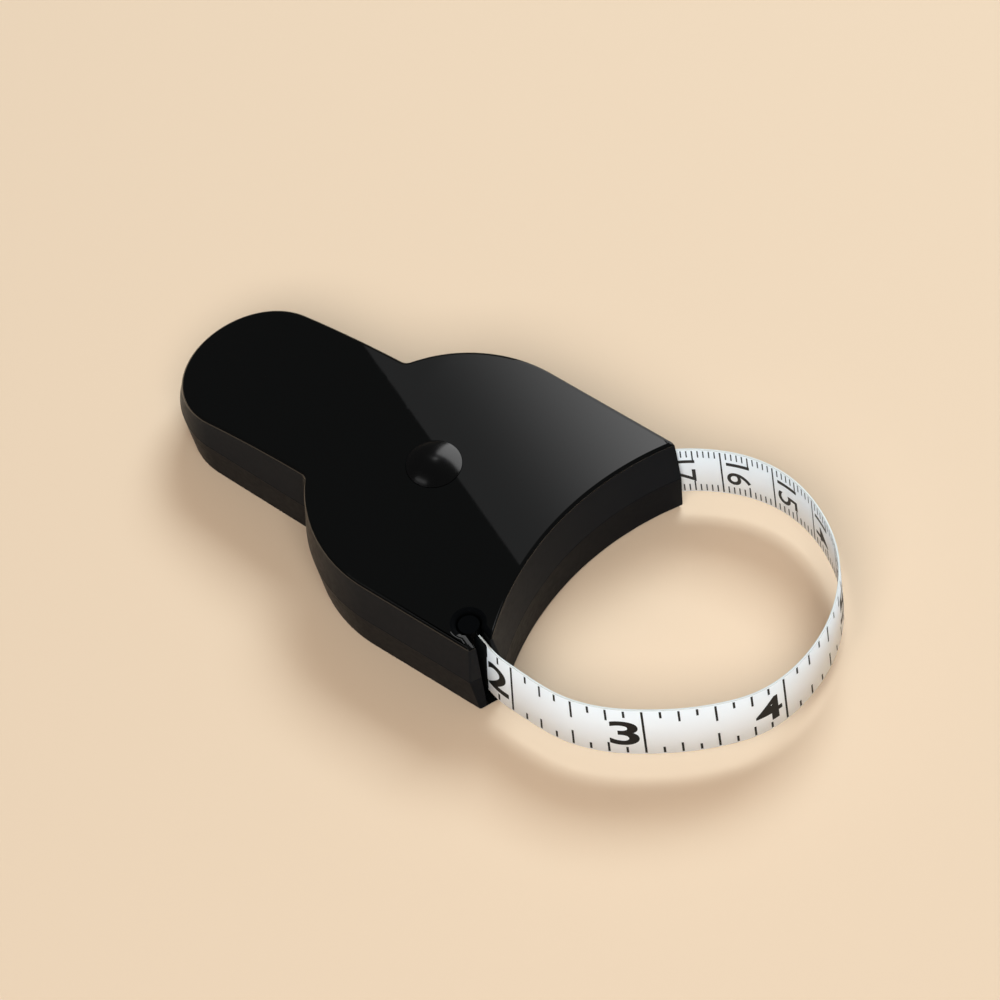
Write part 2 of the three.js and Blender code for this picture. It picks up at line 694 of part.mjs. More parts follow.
function pushButton() {
  const rim = topZ + BUTTON_PROUD;
  const hollow = rim - BUTTON_WALL;
  const domeRadius = (BUTTON_RADIUS ** 2 + BUTTON_DOME ** 2) / (2 * BUTTON_DOME);
  const domeCentre = point(0, rim + BUTTON_DOME - domeRadius);
  const rimAngle = Math.asin(BUTTON_RADIUS / domeRadius);
  const dome = arc(domeCentre, domeRadius, Math.PI / 2 - rimAngle, Math.PI / 2);
  const profile = [
    [0, keyTop + 1],
    [PEG_RADIUS, keyTop + 1],
    [PEG_RADIUS, hollow],
    [BUTTON_RADIUS - BUTTON_WALL, hollow],
    [BUTTON_RADIUS - BUTTON_WALL, buttonBottom],
    [flangeOfButton, buttonBottom],
    [flangeOfButton, buttonFlangeTop],
    [BUTTON_RADIUS, buttonFlangeTop],
    ...dome.slice(0, -1).map((p) => [p.x, p.y]),
    [0, rim + BUTTON_DOME],
  ];
  return revolve(profile);
}

// Flat disc on the post's square key, held up against the spool's cover by the button's spring
function brakeRing() {
  const radius = drumInner - CLEAR - SPIGOT - CLEAR;
  const half = KEY_SIDE / 2 + CLEAR;
  const hole = [point(-half, -half), point(-half, half), point(half, half), point(half, -half)];
  const rim = arc(point(0, 0), radius, 0, 2 * Math.PI).slice(0, -1);
  return prism(rim, brakeBottom, brakeTop, [hole]);
}

function springPoints() {
  const stepsPerTurn = 8;
  const bottom = mainspringBottom + CLEAR + SPRING_WIRE / 2;
  const top = topZ + BUTTON_PROUD - BUTTON_WALL - CLEAR - SPRING_WIRE / 2;
  const steps = SPRING_TURNS * stepsPerTurn;
  return Array.from({ length: steps + 1 }, (_, i) => {
    const place = fromAngle((2 * Math.PI * i) / stepsPerTurn).multiplyScalar(SPRING_RADIUS);
    return new THREE.Vector3(place.x, place.y, bottom + ((top - bottom) * i) / steps);
  });
}

// Pan head with a cross recess, facing down
function caseScrew(centre) {
  const bevel = 0.4;
  const recess = 0.8;
  const recessWidth = 0.7;
  const recessReach = 1.5;
  const profile = [
    [0, headBottom],
    [SCREW_HEAD - bevel, headBottom],
    [SCREW_HEAD, headBottom + bevel],
    [SCREW_HEAD, headTop],
    [SCREW_SHANK, headTop],
    [SCREW_SHANK, screwTip - SCREW_SHANK],
    [0, screwTip],
  ];
  const across = [point(-recessReach, 0), point(recessReach, 0)];
  const upright = [point(0, -recessReach), point(0, recessReach)];
  const cross = joined([
    ribbon(across, recessWidth, headBottom - 1, headBottom + recess),
    ribbon(upright, recessWidth, headBottom - 1, headBottom + recess),
  ]);
  return solid(revolve(profile, 20)).subtract(cross).translate([centre.x, centre.y, 0]);
}

// Least distance between the turns of a wound piece, less its own thickness
function leastGap(points, stepsPerTurn, thickness) {
  let least = Infinity;
  for (let i = 0; i < points.length; i += 1) {
    for (let j = i + Math.ceil(stepsPerTurn / 2); j < points.length; j += 1) {
      least = Math.min(least, points[i].distanceTo(points[j]));
    }
  }
  return least - thickness;
}

place("top_shell", topShell(), BLACK_ABS);
place("bottom_shell", bottomShell(), BLACK_ABS);
place("push_button", pushButton(), BLACK_ABS);
place("brake_ring", brakeRing(), WHITE_NYLON);

const coil = springPoints();
place("button_spring", wire(coil, SPRING_WIRE / 2), SPRING_STEEL);
console.log("button_spring least gap", leastGap(coil, 8, SPRING_WIRE).toFixed(2), "mm");

place("spool", spool(), WHITE_NYLON);
place("spool_cover", spoolCover(), WHITE_NYLON);

const spiral = mainspringRoute();
place(
  "mainspring",
  ribbon(spiral, MAINSPRING_THICKNESS, mainspringBottom, mainspringTop),
  SPRING_STEEL,
);
const turns = spiral.slice(1, -1);
console.log("mainspring least gap", leastGap(turns, 28, MAINSPRING_THICKNESS).toFixed(2), "mm");

place("tape_winding", tapeWinding(), TAPE_WHITE);
place("tape_run", ribbon([runStart, ...bend], TAPE_THICKNESS, tapeBottom, tapeTop), TAPE_WHITE);
place("tape_loop", ribbon(loopPoints(), TAPE_THICKNESS, tapeBottom, tapeTop), TAPE_WHITE);
place("tape_end", ribbon(tapeEndRoute(), TAPE_THICKNESS, tapeBottom, tapeTop), TAPE_WHITE);
place("lock_pin", lockPin(), BLACK_ABS);

for (const [name, centre] of Object.entries(screwPlaces)) {
  place(`case_screw_${name}`, caseScrew(centre), ZINC_STEEL);
}

export default part;
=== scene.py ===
"""Looks of the retractable body tape measure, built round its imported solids.

The camera and the tape come first, then the case, the button and the inner pieces, and last the floor
and the lights. Sizes are in millimetres in the part's own frame, and become metres in the meshes.
"""

import math

import bmesh
import bpy
import numpy as np
from mathutils import Matrix, Quaternion, Vector
from mathutils.geometry import tessellate_polygon


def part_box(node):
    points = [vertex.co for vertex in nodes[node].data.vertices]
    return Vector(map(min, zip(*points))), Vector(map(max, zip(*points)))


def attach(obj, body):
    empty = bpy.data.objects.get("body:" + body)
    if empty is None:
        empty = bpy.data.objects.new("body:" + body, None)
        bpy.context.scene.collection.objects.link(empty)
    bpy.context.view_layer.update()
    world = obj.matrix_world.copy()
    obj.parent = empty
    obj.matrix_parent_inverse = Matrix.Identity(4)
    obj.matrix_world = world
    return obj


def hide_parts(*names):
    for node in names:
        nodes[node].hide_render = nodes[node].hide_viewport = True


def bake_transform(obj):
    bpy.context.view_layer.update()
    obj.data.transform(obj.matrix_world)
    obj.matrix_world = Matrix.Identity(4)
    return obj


MM = 0.001
CORNERS = ((-1, -1), (1, -1), (1, 1), (-1, 1))  # of a square
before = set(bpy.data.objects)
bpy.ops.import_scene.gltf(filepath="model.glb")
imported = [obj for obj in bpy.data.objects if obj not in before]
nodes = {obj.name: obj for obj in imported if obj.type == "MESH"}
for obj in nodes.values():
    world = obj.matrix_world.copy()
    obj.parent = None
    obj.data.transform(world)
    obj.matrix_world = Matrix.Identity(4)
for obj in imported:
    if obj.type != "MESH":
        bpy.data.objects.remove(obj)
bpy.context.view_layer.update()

# Camera, fitted to the photograph's outline and tape marks
PHOTO_PX = 1000
FOCAL_PX = 5611.0
AZIMUTH = math.radians(47.358)
ELEVATION = math.radians(55.794)
ROLL = math.radians(11.363)
DISTANCE = 1000.0  # from the origin
SHIFT_X = 0.05361
SHIFT_Y = 0.02617
SENSOR = 36.0

# Case, in the solids' sizes, with a tighter neck, a deeper slot and a finer parting line
HANDLE_END_X = -40.8
HANDLE_RADIUS = 14.95
HANDLE_TAPER = math.radians(1)
NECK_FILLET = 0.9
BODY_X = 5.2
BODY_RADIUS = 28
SADDLE_X = 26.4
SADDLE_RADIUS = 53.1
NEAR_TIP_WIDTH = 6.75
NEAR_TIP_ANGLE = math.radians(22)
FAR_TIP_WIDTH = 4.1
FAR_TIP_ANGLE = math.radians(70)
ARC_STEP = math.radians(2)
FILLET_STEP = math.radians(6)
FRONT_STEP = math.radians(1)
SIDE_STEPS = 12
WALL = 1.8
FLOOR = 1.8
ROOF = 1.75
PARTING_Z = 10
PARTING_GAP = 0.04
PARTING_CHAMFER = 0.05
TOP_Z = 19.745
TOP_BEND_X = -11
TOP_BEND_RADIUS = 156
DRAFT = 0.85
TOP_EDGE = 0.7
BASE_EDGE = 0.8
TIP_EDGE = 1.6
EDGE_STEPS = 6
TIP_ROUND = 0.5
SLIT_TIP_ROUND = 0.12
ROUND_SHARE = 0.4  # the most of a side that a rounded corner takes up
NEAR_BLOCK = 12.2
FAR_BLOCK = 6

# Tape
TAPE_BOTTOM = 4.2
TAPE_WIDTH = 13
TAPE_TOP = TAPE_BOTTOM + TAPE_WIDTH
TAPE_MIDDLE = TAPE_BOTTOM + TAPE_WIDTH / 2
TAPE_THICKNESS = 0.36
TAPE_EDGE = 0.08  # chamfer of its cut edges
TAPE_STEP = 0.7
TAPE_SHARP = math.radians(50)
CUT_RISE = 0.5  # normals of the cut edges rise or fall more than this
ROUTE_SPACING = 0.25
FINE_POINTS = 4000
LOOP_ROUTE = [
    (36, -25), (41, -25.2), (46, -25), (50.4, -24), (55.2, -22), (60.4, -18.8),
    (65.6, -14.8), (70.2, -10.2), (73.8, -5.2), (75.8, 0.6), (76.3, 6.6), (75.6, 12.4),
    (73.6, 18.2), (70.4, 23.4), (66.2, 27.6), (61, 30.9), (55.6, 33), (50.2, 33.8),
    (45.4, 33.4), (40.8, 32.1), (36.8, 30.2),
]

# Pin and slot in the near horn, slit in the far one
POCKET_RADIUS = 2.25
SLOT_WIDTH = 2.9
SLOT_OFFSET = 3.7
SLOT_DEPTH = 5
POCKET_POINTS = 25
SLOT_FLOOR = 0.9
# How far along the slot the tape's end is painted black as shade.
SLOT_SHADE_END = 4.3  # how much of the tape lies dark in the slot
SLOT_EDGE = 1.9  # the slot's rim is softer than the case's edge
END_LENGTH = 6.8
END_ANGLE = math.radians(-16.3)
SLIT_ANGLE = math.radians(48)
TURN_ANGLE = math.radians(32)
SLIT_IN = 1.4
SLIT_HALF = 0.4
SLIT_CLEAR = 0.3  # above and below the tape
SLIT_LOW = TAPE_BOTTOM - SLIT_CLEAR
SLIT_HIGH = TAPE_TOP + SLIT_CLEAR
EXIT_OUT = 0.3  # where the loop starts, outside the slit
TURN_IN = 4  # where the tape turns, inside it

# Inside the case and under it
POST_RADIUS = 3.4
POST_TOP = 12.2
POST_BORE = 1.9
BORE_FLOOR = 4.3
FOOT_RADIUS = 4.2
FOOT_TOP = 3.9
KEY_HALF = 2.3  # the post's square top
KEY_LOW = 12.0
KEY_TOP = 15.2
BEARING_INNER = 8
BEARING_OUTER = 9.2
BEARING_TOP = 2.1
STOP_INNER = 8.2  # ring under the roof that keeps the spool down
STOP_OUTER = 9.4
STOP_LOW = 17.0
SINK = 0.2  # how far inner forms reach into the floor
ROOF_SINK = 1  # and into the roof
SLEEVE_INNER = 5.06
SLEEVE_OUTER = 6.5
SLEEVE_LOW = 16.9
WINDING_INNER = 13.2
WINDING_OUTER = 18.8
MAINSPRING_INNER = 3.95
MAINSPRING_THICKNESS = 0.25
MAINSPRING_PITCH = 0.82
MAINSPRING_TURNS = 9
HOOK_TURN = math.radians(14)
ANCHOR_REACH = 12.4
ANCHOR_SHARE = 0.8  # of the turn that the strip leaves to its anchor
COIL_RADIUS = 1.35
COIL_WIRE = 0.4
COIL_TURNS = 12
COIL_STEPS = 24  # of one turn
WIRE_SIDES = 10
SCREW_RECESS = 2.8
RECESS_CHAMFER = 0.25
RECESS_TOP = 3.0
SCREW_HOLE = 1.55
HOLE_TOP = 15.3
BOSS_WALL = 1.4
BOSS_SINK = 0.1
SCREWS = []
for place in ("handle", "near_horn", "far_horn"):
    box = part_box("case_screw_" + place)
    SCREWS.append(tuple((box[0][k] + box[1][k]) / 2 / MM for k in (0, 1)))


# Plan geometry


def v2(x, y):
    return np.array([x, y], float)


def unit(angle):
    return v2(math.cos(angle), math.sin(angle))


def length(vector):
    return float(np.linalg.norm(vector))


def normed(vector):
    return vector / length(vector)


def heading(vector):
    return math.atan2(vector[1], vector[0])


def arc(centre, radius, start, end, step=ARC_STEP):
    count = max(2, math.ceil(abs(end - start) / step))
    angles = np.linspace(start, end, count + 1)
    return [centre + radius * unit(angle) for angle in angles]


def meet(start, direction, centre, radius):
    """Where a line first meets a circle."""
    away = start - centre
    b = away @ direction
    c = away @ away - radius**2
    return start + direction * (-b - math.sqrt(b * b - c))


def case_side(tip_width, tip_angle, cut=0):
    """One side of the case for y > 0, from the handle's end to the horn's inner corner."""
    handle = v2(HANDLE_END_X, 0)
    body = v2(BODY_X, 0)
    saddle = v2(SADDLE_X + SADDLE_RADIUS, 0)
    normal = unit(math.pi / 2 + HANDLE_TAPER)
    start = handle + normal * HANDLE_RADIUS
    beside = start + normal * NECK_FILLET
    fillet = meet(beside, unit(HANDLE_TAPER), body, BODY_RADIUS + NECK_FILLET)
    to_body = heading(body - fillet)
    end = fillet - normal * NECK_FILLET
    side = [start + (end - start) * k / SIDE_STEPS for k in range(1, SIDE_STEPS)]
    horn_start = v2(BODY_X, BODY_RADIUS)
    ahead = v2(1, 0)
    inwards = v2(math.sin(tip_angle), -math.cos(tip_angle))
    aside = horn_start + inwards * tip_width
    shift = length(aside - meet(aside, ahead, saddle, SADDLE_RADIUS))
    outer = horn_start + ahead * (shift - cut)
    inner = meet(outer, inwards, saddle, SADDLE_RADIUS)
    return [
        *arc(handle, HANDLE_RADIUS, math.pi, math.pi / 2 + HANDLE_TAPER),
        *side,
        *arc(fillet, NECK_FILLET, HANDLE_TAPER - math.pi / 2, to_body, FILLET_STEP),
        *arc(body, BODY_RADIUS, to_body + math.pi, math.pi / 2)[1:],
        outer,
        inner,
    ]


def case_outline(near_cut=0, far_cut=0):
    """The outline, counter-clockwise, and where in it the horns' four corners are."""
    far = case_side(FAR_TIP_WIDTH, FAR_TIP_ANGLE, far_cut)
    near = [p * v2(1, -1) for p in case_side(NEAR_TIP_WIDTH, NEAR_TIP_ANGLE, near_cut)]
    saddle = v2(SADDLE_X + SADDLE_RADIUS, 0)
    near_angle = math.pi + math.asin(-near[-1][1] / SADDLE_RADIUS)
    far_angle = math.pi - math.asin(far[-1][1] / SADDLE_RADIUS)
    front = arc(saddle, SADDLE_RADIUS, near_angle, far_angle, FRONT_STEP)[1:-1]
    corners = [*near, *front, *far[:0:-1]]
    near_outer = len(near) - 2
    far_inner = len(near) + len(front)
    return np.array(corners), (near_outer, near_outer + 1, far_inner, far_inner + 1)


def offset(points, distance, apart=(), apart_distance=0.0):
    """A closed outline moved inwards. Edges that start at the places in apart move another distance."""
    step = np.roll(points, -1, 0) - points
    step /= np.linalg.norm(step, axis=1)[:, None]
    after = np.stack([-step[:, 1], step[:, 0]], 1)
    before = np.roll(after, 1, 0)
    turn = (before * after).sum(1)
    moved = points + (before + after) / (1 + turn)[:, None] * distance
    for edge in apart:
        for i, own, other in ((edge, after, before), (edge + 1, before, after)):
            near = (apart_distance - distance * turn[i]) / (1 - turn[i] ** 2)
            far = (distance - apart_distance * turn[i]) / (1 - turn[i] ** 2)
            moved[i] = points[i] + own[i] * near + other[i] * far
    return moved


def crossing(a, along_a, b, along_b):
    """Where two lines cross."""
    share = np.linalg.solve(np.stack([along_a, -along_b], 1), b - a)[0]
    return a + along_a * share


def rounded(before, corner, after, radius, steps=4):
    """Points of an arc in place of a corner, tighter where its sides are short."""
    back, on = before - corner, after - corner
    room = ROUND_SHARE * min(length(back), length(on))
    back, on = normed(back), normed(on)
    half = math.acos(np.clip(back @ on, -1, 1)) / 2
    reach = min(radius / math.tan(half), room)
    centre = corner + normed(back + on) * (reach / math.cos(half))
    start = heading(corner + back * reach - centre)
    sweep = heading(corner + on * reach - centre) - start
    sweep = (sweep + math.pi) % (2 * math.pi) - math.pi
    angles = np.linspace(start, start + sweep, steps + 1)
    return [centre + reach * math.tan(half) * unit(angle) for angle in angles]


OUTLINE, TIPS = case_outline()
CAVITY, CAVITY_TIPS = case_outline(NEAR_BLOCK, FAR_BLOCK)
SLOT_OUT = unit(-NEAR_TIP_ANGLE)
SLOT_IN = v2(-SLOT_OUT[1], SLOT_OUT[0])
PIN_PLACE = OUTLINE[TIPS[0]] + SLOT_IN * SLOT_OFFSET - SLOT_OUT * SLOT_DEPTH
LOOP_START = PIN_PLACE + END_LENGTH * unit(END_ANGLE)
SLIT_OUT = unit(SLIT_ANGLE)
SLIT_ALONG = v2(SLIT_OUT[1], -SLIT_OUT[0])
FACET_ALONG = normed(OUTLINE[TIPS[2]] - OUTLINE[TIPS[3]])
SLIT_MIDDLE = OUTLINE[TIPS[2]] - SLIT_IN * FACET_ALONG
EXIT = SLIT_MIDDLE + EXIT_OUT * SLIT_OUT
RUN_TURN = SLIT_MIDDLE - TURN_IN * unit(TURN_ANGLE)


def top_at(x):
    past = max(0.0, TOP_BEND_X - x)
    return TOP_Z - TOP_BEND_RADIUS + math.sqrt(TOP_BEND_RADIUS**2 - past**2)


def raised(points, height):
    return [(p[0], p[1], height(p[0]) if callable(height) else height) for p in points]


def circle(centre, radius, height, segments=64):
    angles = np.arange(segments) * (2 * math.pi / segments)
    points = [(centre[0] + radius * math.cos(a), centre[1] + radius * math.sin(a)) for a in angles]
    return raised(points, height)


# Mesh building
WELD = 2e-6
FINE_WELD = 1e-7  # for strips that come close to each other


def new_object(name, data):
    made = bpy.data.objects.new(name, data)
    bpy.context.scene.collection.objects.link(made)
    return made


class Builder:
    """Collects points and faces in millimetres and makes one object of them."""

    def __init__(self):
        self.points = []
        self.faces = []

    def add(self, points):
        first = len(self.points)
        self.points.extend(tuple(map(float, p)) for p in points)
        return list(range(first, len(self.points)))

    def strip(self, low, high, gap=None):
        """Quads between two rings of points, but for one at a gap."""
        for i in range(len(low)):
            j = (i + 1) % len(low)
            if i != gap:
                self.faces.append((low[i], low[j], high[j], high[i]))

    def sweep(self, rows):
        """A closed body through rings of points."""
        for low, high in zip(rows, rows[1:]):
            self.strip(low, high)
        self.faces.append(tuple(rows[0]))
        self.faces.append(tuple(rows[-1][::-1]))

    def face(self, *loops):
        """One flat face with holes, as triangles."""
        flat = [i for loop in loops for i in loop]
        lines = [[Vector(self.points[i]) for i in loop] for loop in loops]
        for triangle in tessellate_polygon(lines):
            self.faces.append(tuple(flat[i] for i in triangle))

    def lid(self, loop, *holes):
        """A face over a ring from the handle's end: strips where it bends, then the flat rest."""
        count = len(loop)
        i = 0
        while self.points[loop[i]][0] < TOP_BEND_X:
            strip = (loop[i], loop[i + 1], loop[count - 1 - i], loop[count - i] if i else loop[0])
            self.faces.append(strip if i else strip[:3])
            i += 1
        self.face(loop[i : count - i + 1], *holes)

    def lathe(self, profile, centre=(0, 0), segments=64, closed=True):
        """A profile of radius and height turned about an upright axis."""
        rows = [self.add(circle(centre, radius, z, segments)) for radius, z in profile]
        for low, high in zip(rows, rows[1:]):
            self.strip(low, high)
        if closed:
            self.strip(rows[-1], rows[0])
        return rows

    def make(self, name, material, sharp=math.radians(34), weld=WELD):
        mesh = bpy.data.meshes.new(name)
        work = bmesh.new()
        verts = [work.verts.new(Vector(p) * MM) for p in self.points]
        for face in self.faces:
            if len(set(face)) > 2:
                try:
                    work.faces.new([verts[i] for i in face])
                except ValueError:
                    pass  # the same face twice
        bmesh.ops.remove_doubles(work, verts=work.verts, dist=weld)
        bmesh.ops.dissolve_degenerate(work, edges=work.edges, dist=weld / 2)
        loose = [v for v in work.verts if not v.link_faces]
        bmesh.ops.delete(work, geom=loose, context="VERTS")
        bmesh.ops.recalc_face_normals(work, faces=work.faces)
        work.to_mesh(mesh)
        work.free()
        mesh.shade_smooth()
        mesh.set_sharp_from_angle(angle=sharp)
        mesh.materials.append(material)
        return new_object(name, mesh)


def in_slot(point):
    """A place in metres seen from the pin: along the slot and across it, in millimetres."""
    away = v2(point.x, point.y) / MM - PIN_PLACE
    return away @ SLOT_OUT, away @ SLOT_IN


PARTING_BAND = 0.2  # faces this near the parting line are satin
UPRIGHT_Z = 0.3  # the most that an upright face's normal points up
LEVEL_Z = 0.98
FLAT_Z = 0.999999
POCKET_RIM = 1.6
LIP_START = 1.2  # the slot's outer lip stays polished from here on
SLOT_SLACK = 0.1


def finish_case(piece, wall):
    """Upright walls take the given satin, which on the lower shell is a darker satin as painted shade.
    The slot and the soft rim round the pin's pocket take a darker matt black as painted shade, and the
    rest is polished.
    """
    piece.data.materials.append(wall)
    piece.data.materials.append(MATT_SHADE)
    for face in piece.data.polygons:
        up = face.normal.z
        parting = abs(face.center.z / MM - PARTING_Z) < PARTING_BAND
        upright = abs(up) < UPRIGHT_Z or parting
        along, aside = in_slot(face.center)
        beside_pin = math.hypot(along, aside) < POCKET_RADIUS + POCKET_RIM and abs(up) < LEVEL_Z
        lip = along > LIP_START and aside < -LIP_START and up > UPRIGHT_Z
        in_width = abs(aside) < SLOT_WIDTH / 2 + SLOT_SLACK
        inside = upright and in_width and 0 < along < SLOT_DEPTH - 2 * SLOT_SLACK
        # Slot walls and the pocket's soft rim get the darker matt black as painted shade.
        face.material_index = 2 if inside or beside_pin and not lip else int(upright)
        if up > FLAT_Z:
            face.use_smooth = False


def flatten_normals(piece):
    """Keeps flat faces flat beside their rounded edges."""
    modifier = piece.modifiers.new("weighted_normals", "WEIGHTED_NORMAL")
    modifier.keep_sharp = True
    modifier.weight = 100


# Materials
PLASTIC_IOR = 1.5
NOISE_LOW = 0.3  # most of a noise lies between these
NOISE_HIGH = 0.7


def set_inputs(node, values):
    for name, value in values.items():
        node.inputs[name].default_value = value


def new_material(name, color, roughness, metallic=0.0):
    material = bpy.data.materials.new(name)
    material.use_nodes = True
    shader = material.node_tree.nodes["Principled BSDF"]
    set_inputs(shader, {"Base Color": (*color, 1), "Roughness": roughness, "Metallic": metallic})
    return material, shader


def noise_node(material, scale, detail, stretch=(1, 1, 1)):
    tree = material.node_tree
    place = tree.nodes.new("ShaderNodeTexCoord")
    mapping = tree.nodes.new("ShaderNodeMapping")
    set_inputs(mapping, {"Scale": stretch})
    noise = tree.nodes.new("ShaderNodeTexNoise")
    set_inputs(noise, {"Scale": scale, "Detail": detail})
    tree.links.new(place.outputs["Object"], mapping.inputs["Vector"])
    tree.links.new(mapping.outputs["Vector"], noise.inputs["Vector"])
    return noise


def vary(material, shader, socket, noise, low, high):
    """Drives a socket between two values or colours by a noise."""
    tree = material.node_tree
    if isinstance(low, tuple):
        mix = tree.nodes.new("ShaderNodeMix")
        mix.data_type = "RGBA"
        set_inputs(mix, {"A": (*low, 1), "B": (*high, 1)})
        tree.links.new(noise.outputs["Fac"], mix.inputs["Factor"])
        tree.links.new(mix.outputs["Result"], shader.inputs[socket])
        return
    span = tree.nodes.new("ShaderNodeMapRange")
    set_inputs(span, {"From Min": NOISE_LOW, "From Max": NOISE_HIGH, "To Min": low, "To Max": high})
    tree.links.new(noise.outputs["Fac"], span.inputs["Value"])
    tree.links.new(span.outputs["Result"], shader.inputs[socket])


def bump(material, shader, noise, strength, depth_mm):
    tree = material.node_tree
    relief = tree.nodes.new("ShaderNodeBump")
    set_inputs(relief, {"Strength": strength, "Distance": depth_mm * MM})
    tree.links.new(noise.outputs["Fac"], relief.inputs["Height"])
    tree.links.new(relief.outputs["Normal"], shader.inputs["Normal"])


def case_material(name, color, gloss, low, high, tint=(1, 1, 1)):
    """Moulded plastic. low and high are its roughness, and gloss and tint its mirror-like share."""
    material, shader = new_material(name, color, (low + high) / 2)
    vary(material, shader, "Roughness", noise_node(material, 900, 4), low, high)
    bump(material, shader, noise_node(material, 260, 2), 0.012, 0.01)
    sheen = {"IOR": PLASTIC_IOR, "Specular IOR Level": gloss, "Specular Tint": (*tint, 1)}
    set_inputs(shader, sheen)
    return material


def tape_material(name, low, high):
    material, shader = new_material(name, low, 0.45)
    weave = noise_node(material, 1500, 1, (1, 1, 0.35))
    vary(material, shader, "Base Color", noise_node(material, 60, 2), low, high)
    bump(material, shader, weave, 0.12, 0.03)
    return material


def print_material(name, low, high):
    material, shader = new_material(name, (low, low, low), 0.5)
    ink = noise_node(material, 2500, 2)
    vary(material, shader, "Base Color", ink, (low, low, low), (high, high, high))
    set_inputs(shader, {"Specular IOR Level": 0.15})
    return material


def nylon_material():
    material, shader = new_material("natural_nylon", (0.74, 0.72, 0.66), 0.45)
    low, high = (0.71, 0.69, 0.63), (0.77, 0.75, 0.69)
    vary(material, shader, "Base Color", noise_node(material, 80, 3), low, high)
    bump(material, shader, noise_node(material, 700, 2), 0.1, 0.02)
    return material


def steel_material(name, color, low, high, stretch):
    material, shader = new_material(name, color, (low + high) / 2, 1.0)
    grain = noise_node(material, 500, 3, stretch)
    vary(material, shader, "Roughness", grain, low, high)
    bump(material, shader, grain, 0.08, 0.01)
    return material


SATIN_TINT = (0.56, 0.8, 1)
BLACK = case_material("black_abs", (0.0022, 0.0021, 0.0019), 0.5, 0.012, 0.02)
SATIN = case_material("black_abs_satin", (0.0085, 0.009, 0.0105), 0.03, 0.3, 0.4, SATIN_TINT)
# A darker copy of the wall satin: painted shade on the lower shell's walls.
SATIN_SHADED = case_material("black_abs_satin_shaded", (0.006, 0.0065, 0.0078), 0.014, 0.3, 0.4, SATIN_TINT)
GLOSSY = case_material("black_abs_button", (0.0006, 0.0006, 0.0006), 1.0, 0.18, 0.22)
# A darker matt black: painted shade in the slot, round the pin's pocket and on the pin deep inside it.
MATT_SHADE = case_material("black_abs_matt_shade", (0.0015, 0.0015, 0.0016), 0.02, 0.5, 0.6)
TAPE_WHITE = tape_material("tape_vinyl", (0.876, 0.89, 0.91), (0.916, 0.93, 0.95))
# The cut edges' grey is partly their own colour and partly painted shade, which keeps the upward edge
# from glaring under the lamps.
TAPE_CUT_SHADE = tape_material("tape_cut_edge_shade", (0.56, 0.53, 0.48), (0.6, 0.57, 0.52))
# Print ink. Its black also paints shade on the tape's end inside the slot.
INK_AND_SHADE = print_material("tape_ink_and_shade", 0.004, 0.014)
PALE_INK = print_material("tape_ink_pale", 0.01, 0.04)
NYLON = nylon_material()
SPRING_STEEL = steel_material("spring_steel", (0.42, 0.43, 0.45), 0.22, 0.4, (1, 1, 8))
ZINC = steel_material("zinc_steel", (0.6, 0.61, 0.63), 0.25, 0.45, (1, 1, 1))


# Camera


def make_camera():
    a, e = AZIMUTH, ELEVATION
    back = Vector((math.sin(a) * math.cos(e), -math.cos(a) * math.cos(e), math.sin(e)))
    right = Vector((math.cos(a), math.sin(a), 0))
    up = back.cross(right)
    turned_right = right * math.cos(ROLL) - up * math.sin(ROLL)
    turned_up = right * math.sin(ROLL) + up * math.cos(ROLL)
    data = bpy.data.cameras.new("camera")
    data.sensor_width = SENSOR
    data.lens = FOCAL_PX / PHOTO_PX * SENSOR
    data.shift_x = SHIFT_X
    data.shift_y = SHIFT_Y
    data.clip_start = 0.02
    data.clip_end = 20
    camera = new_object("camera", data)
    axes = Matrix((turned_right, turned_up, back)).transposed().to_4x4()
    camera.matrix_world = Matrix.Translation(back * DISTANCE * MM) @ axes
    bpy.context.scene.camera = camera


make_camera()


# Tape


def lengths(points):
    """How far along a line of points each of them is."""
    return np.concatenate([[0], np.cumsum(np.linalg.norm(np.diff(points, axis=0), axis=1))])


def smooth_route(knots):
    """Points at an even spacing on a smooth curve through the knots."""
    knots = np.array(knots, float)
    chord = lengths(knots)
    count = len(knots)
    gap = np.diff(chord)
    system = np.eye(count)
    bends = np.zeros((count, 2))
    for i in range(1, count - 1):
        system[i, i - 1 : i + 2] = gap[i - 1], 2 * (gap[i - 1] + gap[i]), gap[i]
        slope = (knots[i + 1] - knots[i]) / gap[i] - (knots[i] - knots[i - 1]) / gap[i - 1]
        bends[i] = 6 * slope
    second = np.linalg.solve(system, bends)
    fine = np.linspace(0, chord[-1], FINE_POINTS)
    at = np.clip(np.searchsorted(chord, fine, side="right") - 1, 0, count - 2)
    h = gap[at][:, None]
    u = (chord[at + 1] - fine)[:, None]
    w = (fine - chord[at])[:, None]
    curve = (
        second[at] * u**3 / (6 * h)
        + second[at + 1] * w**3 / (6 * h)
        + (knots[at] / h - second[at] * h / 6) * u
        + (knots[at + 1] / h - second[at + 1] * h / 6) * w
    )
    run = lengths(curve)
    even = np.linspace(0, run[-1], max(2, round(run[-1] / ROUTE_SPACING)) + 1)
    return np.stack([np.interp(even, run, curve[:, k]) for k in (0, 1)], 1), even


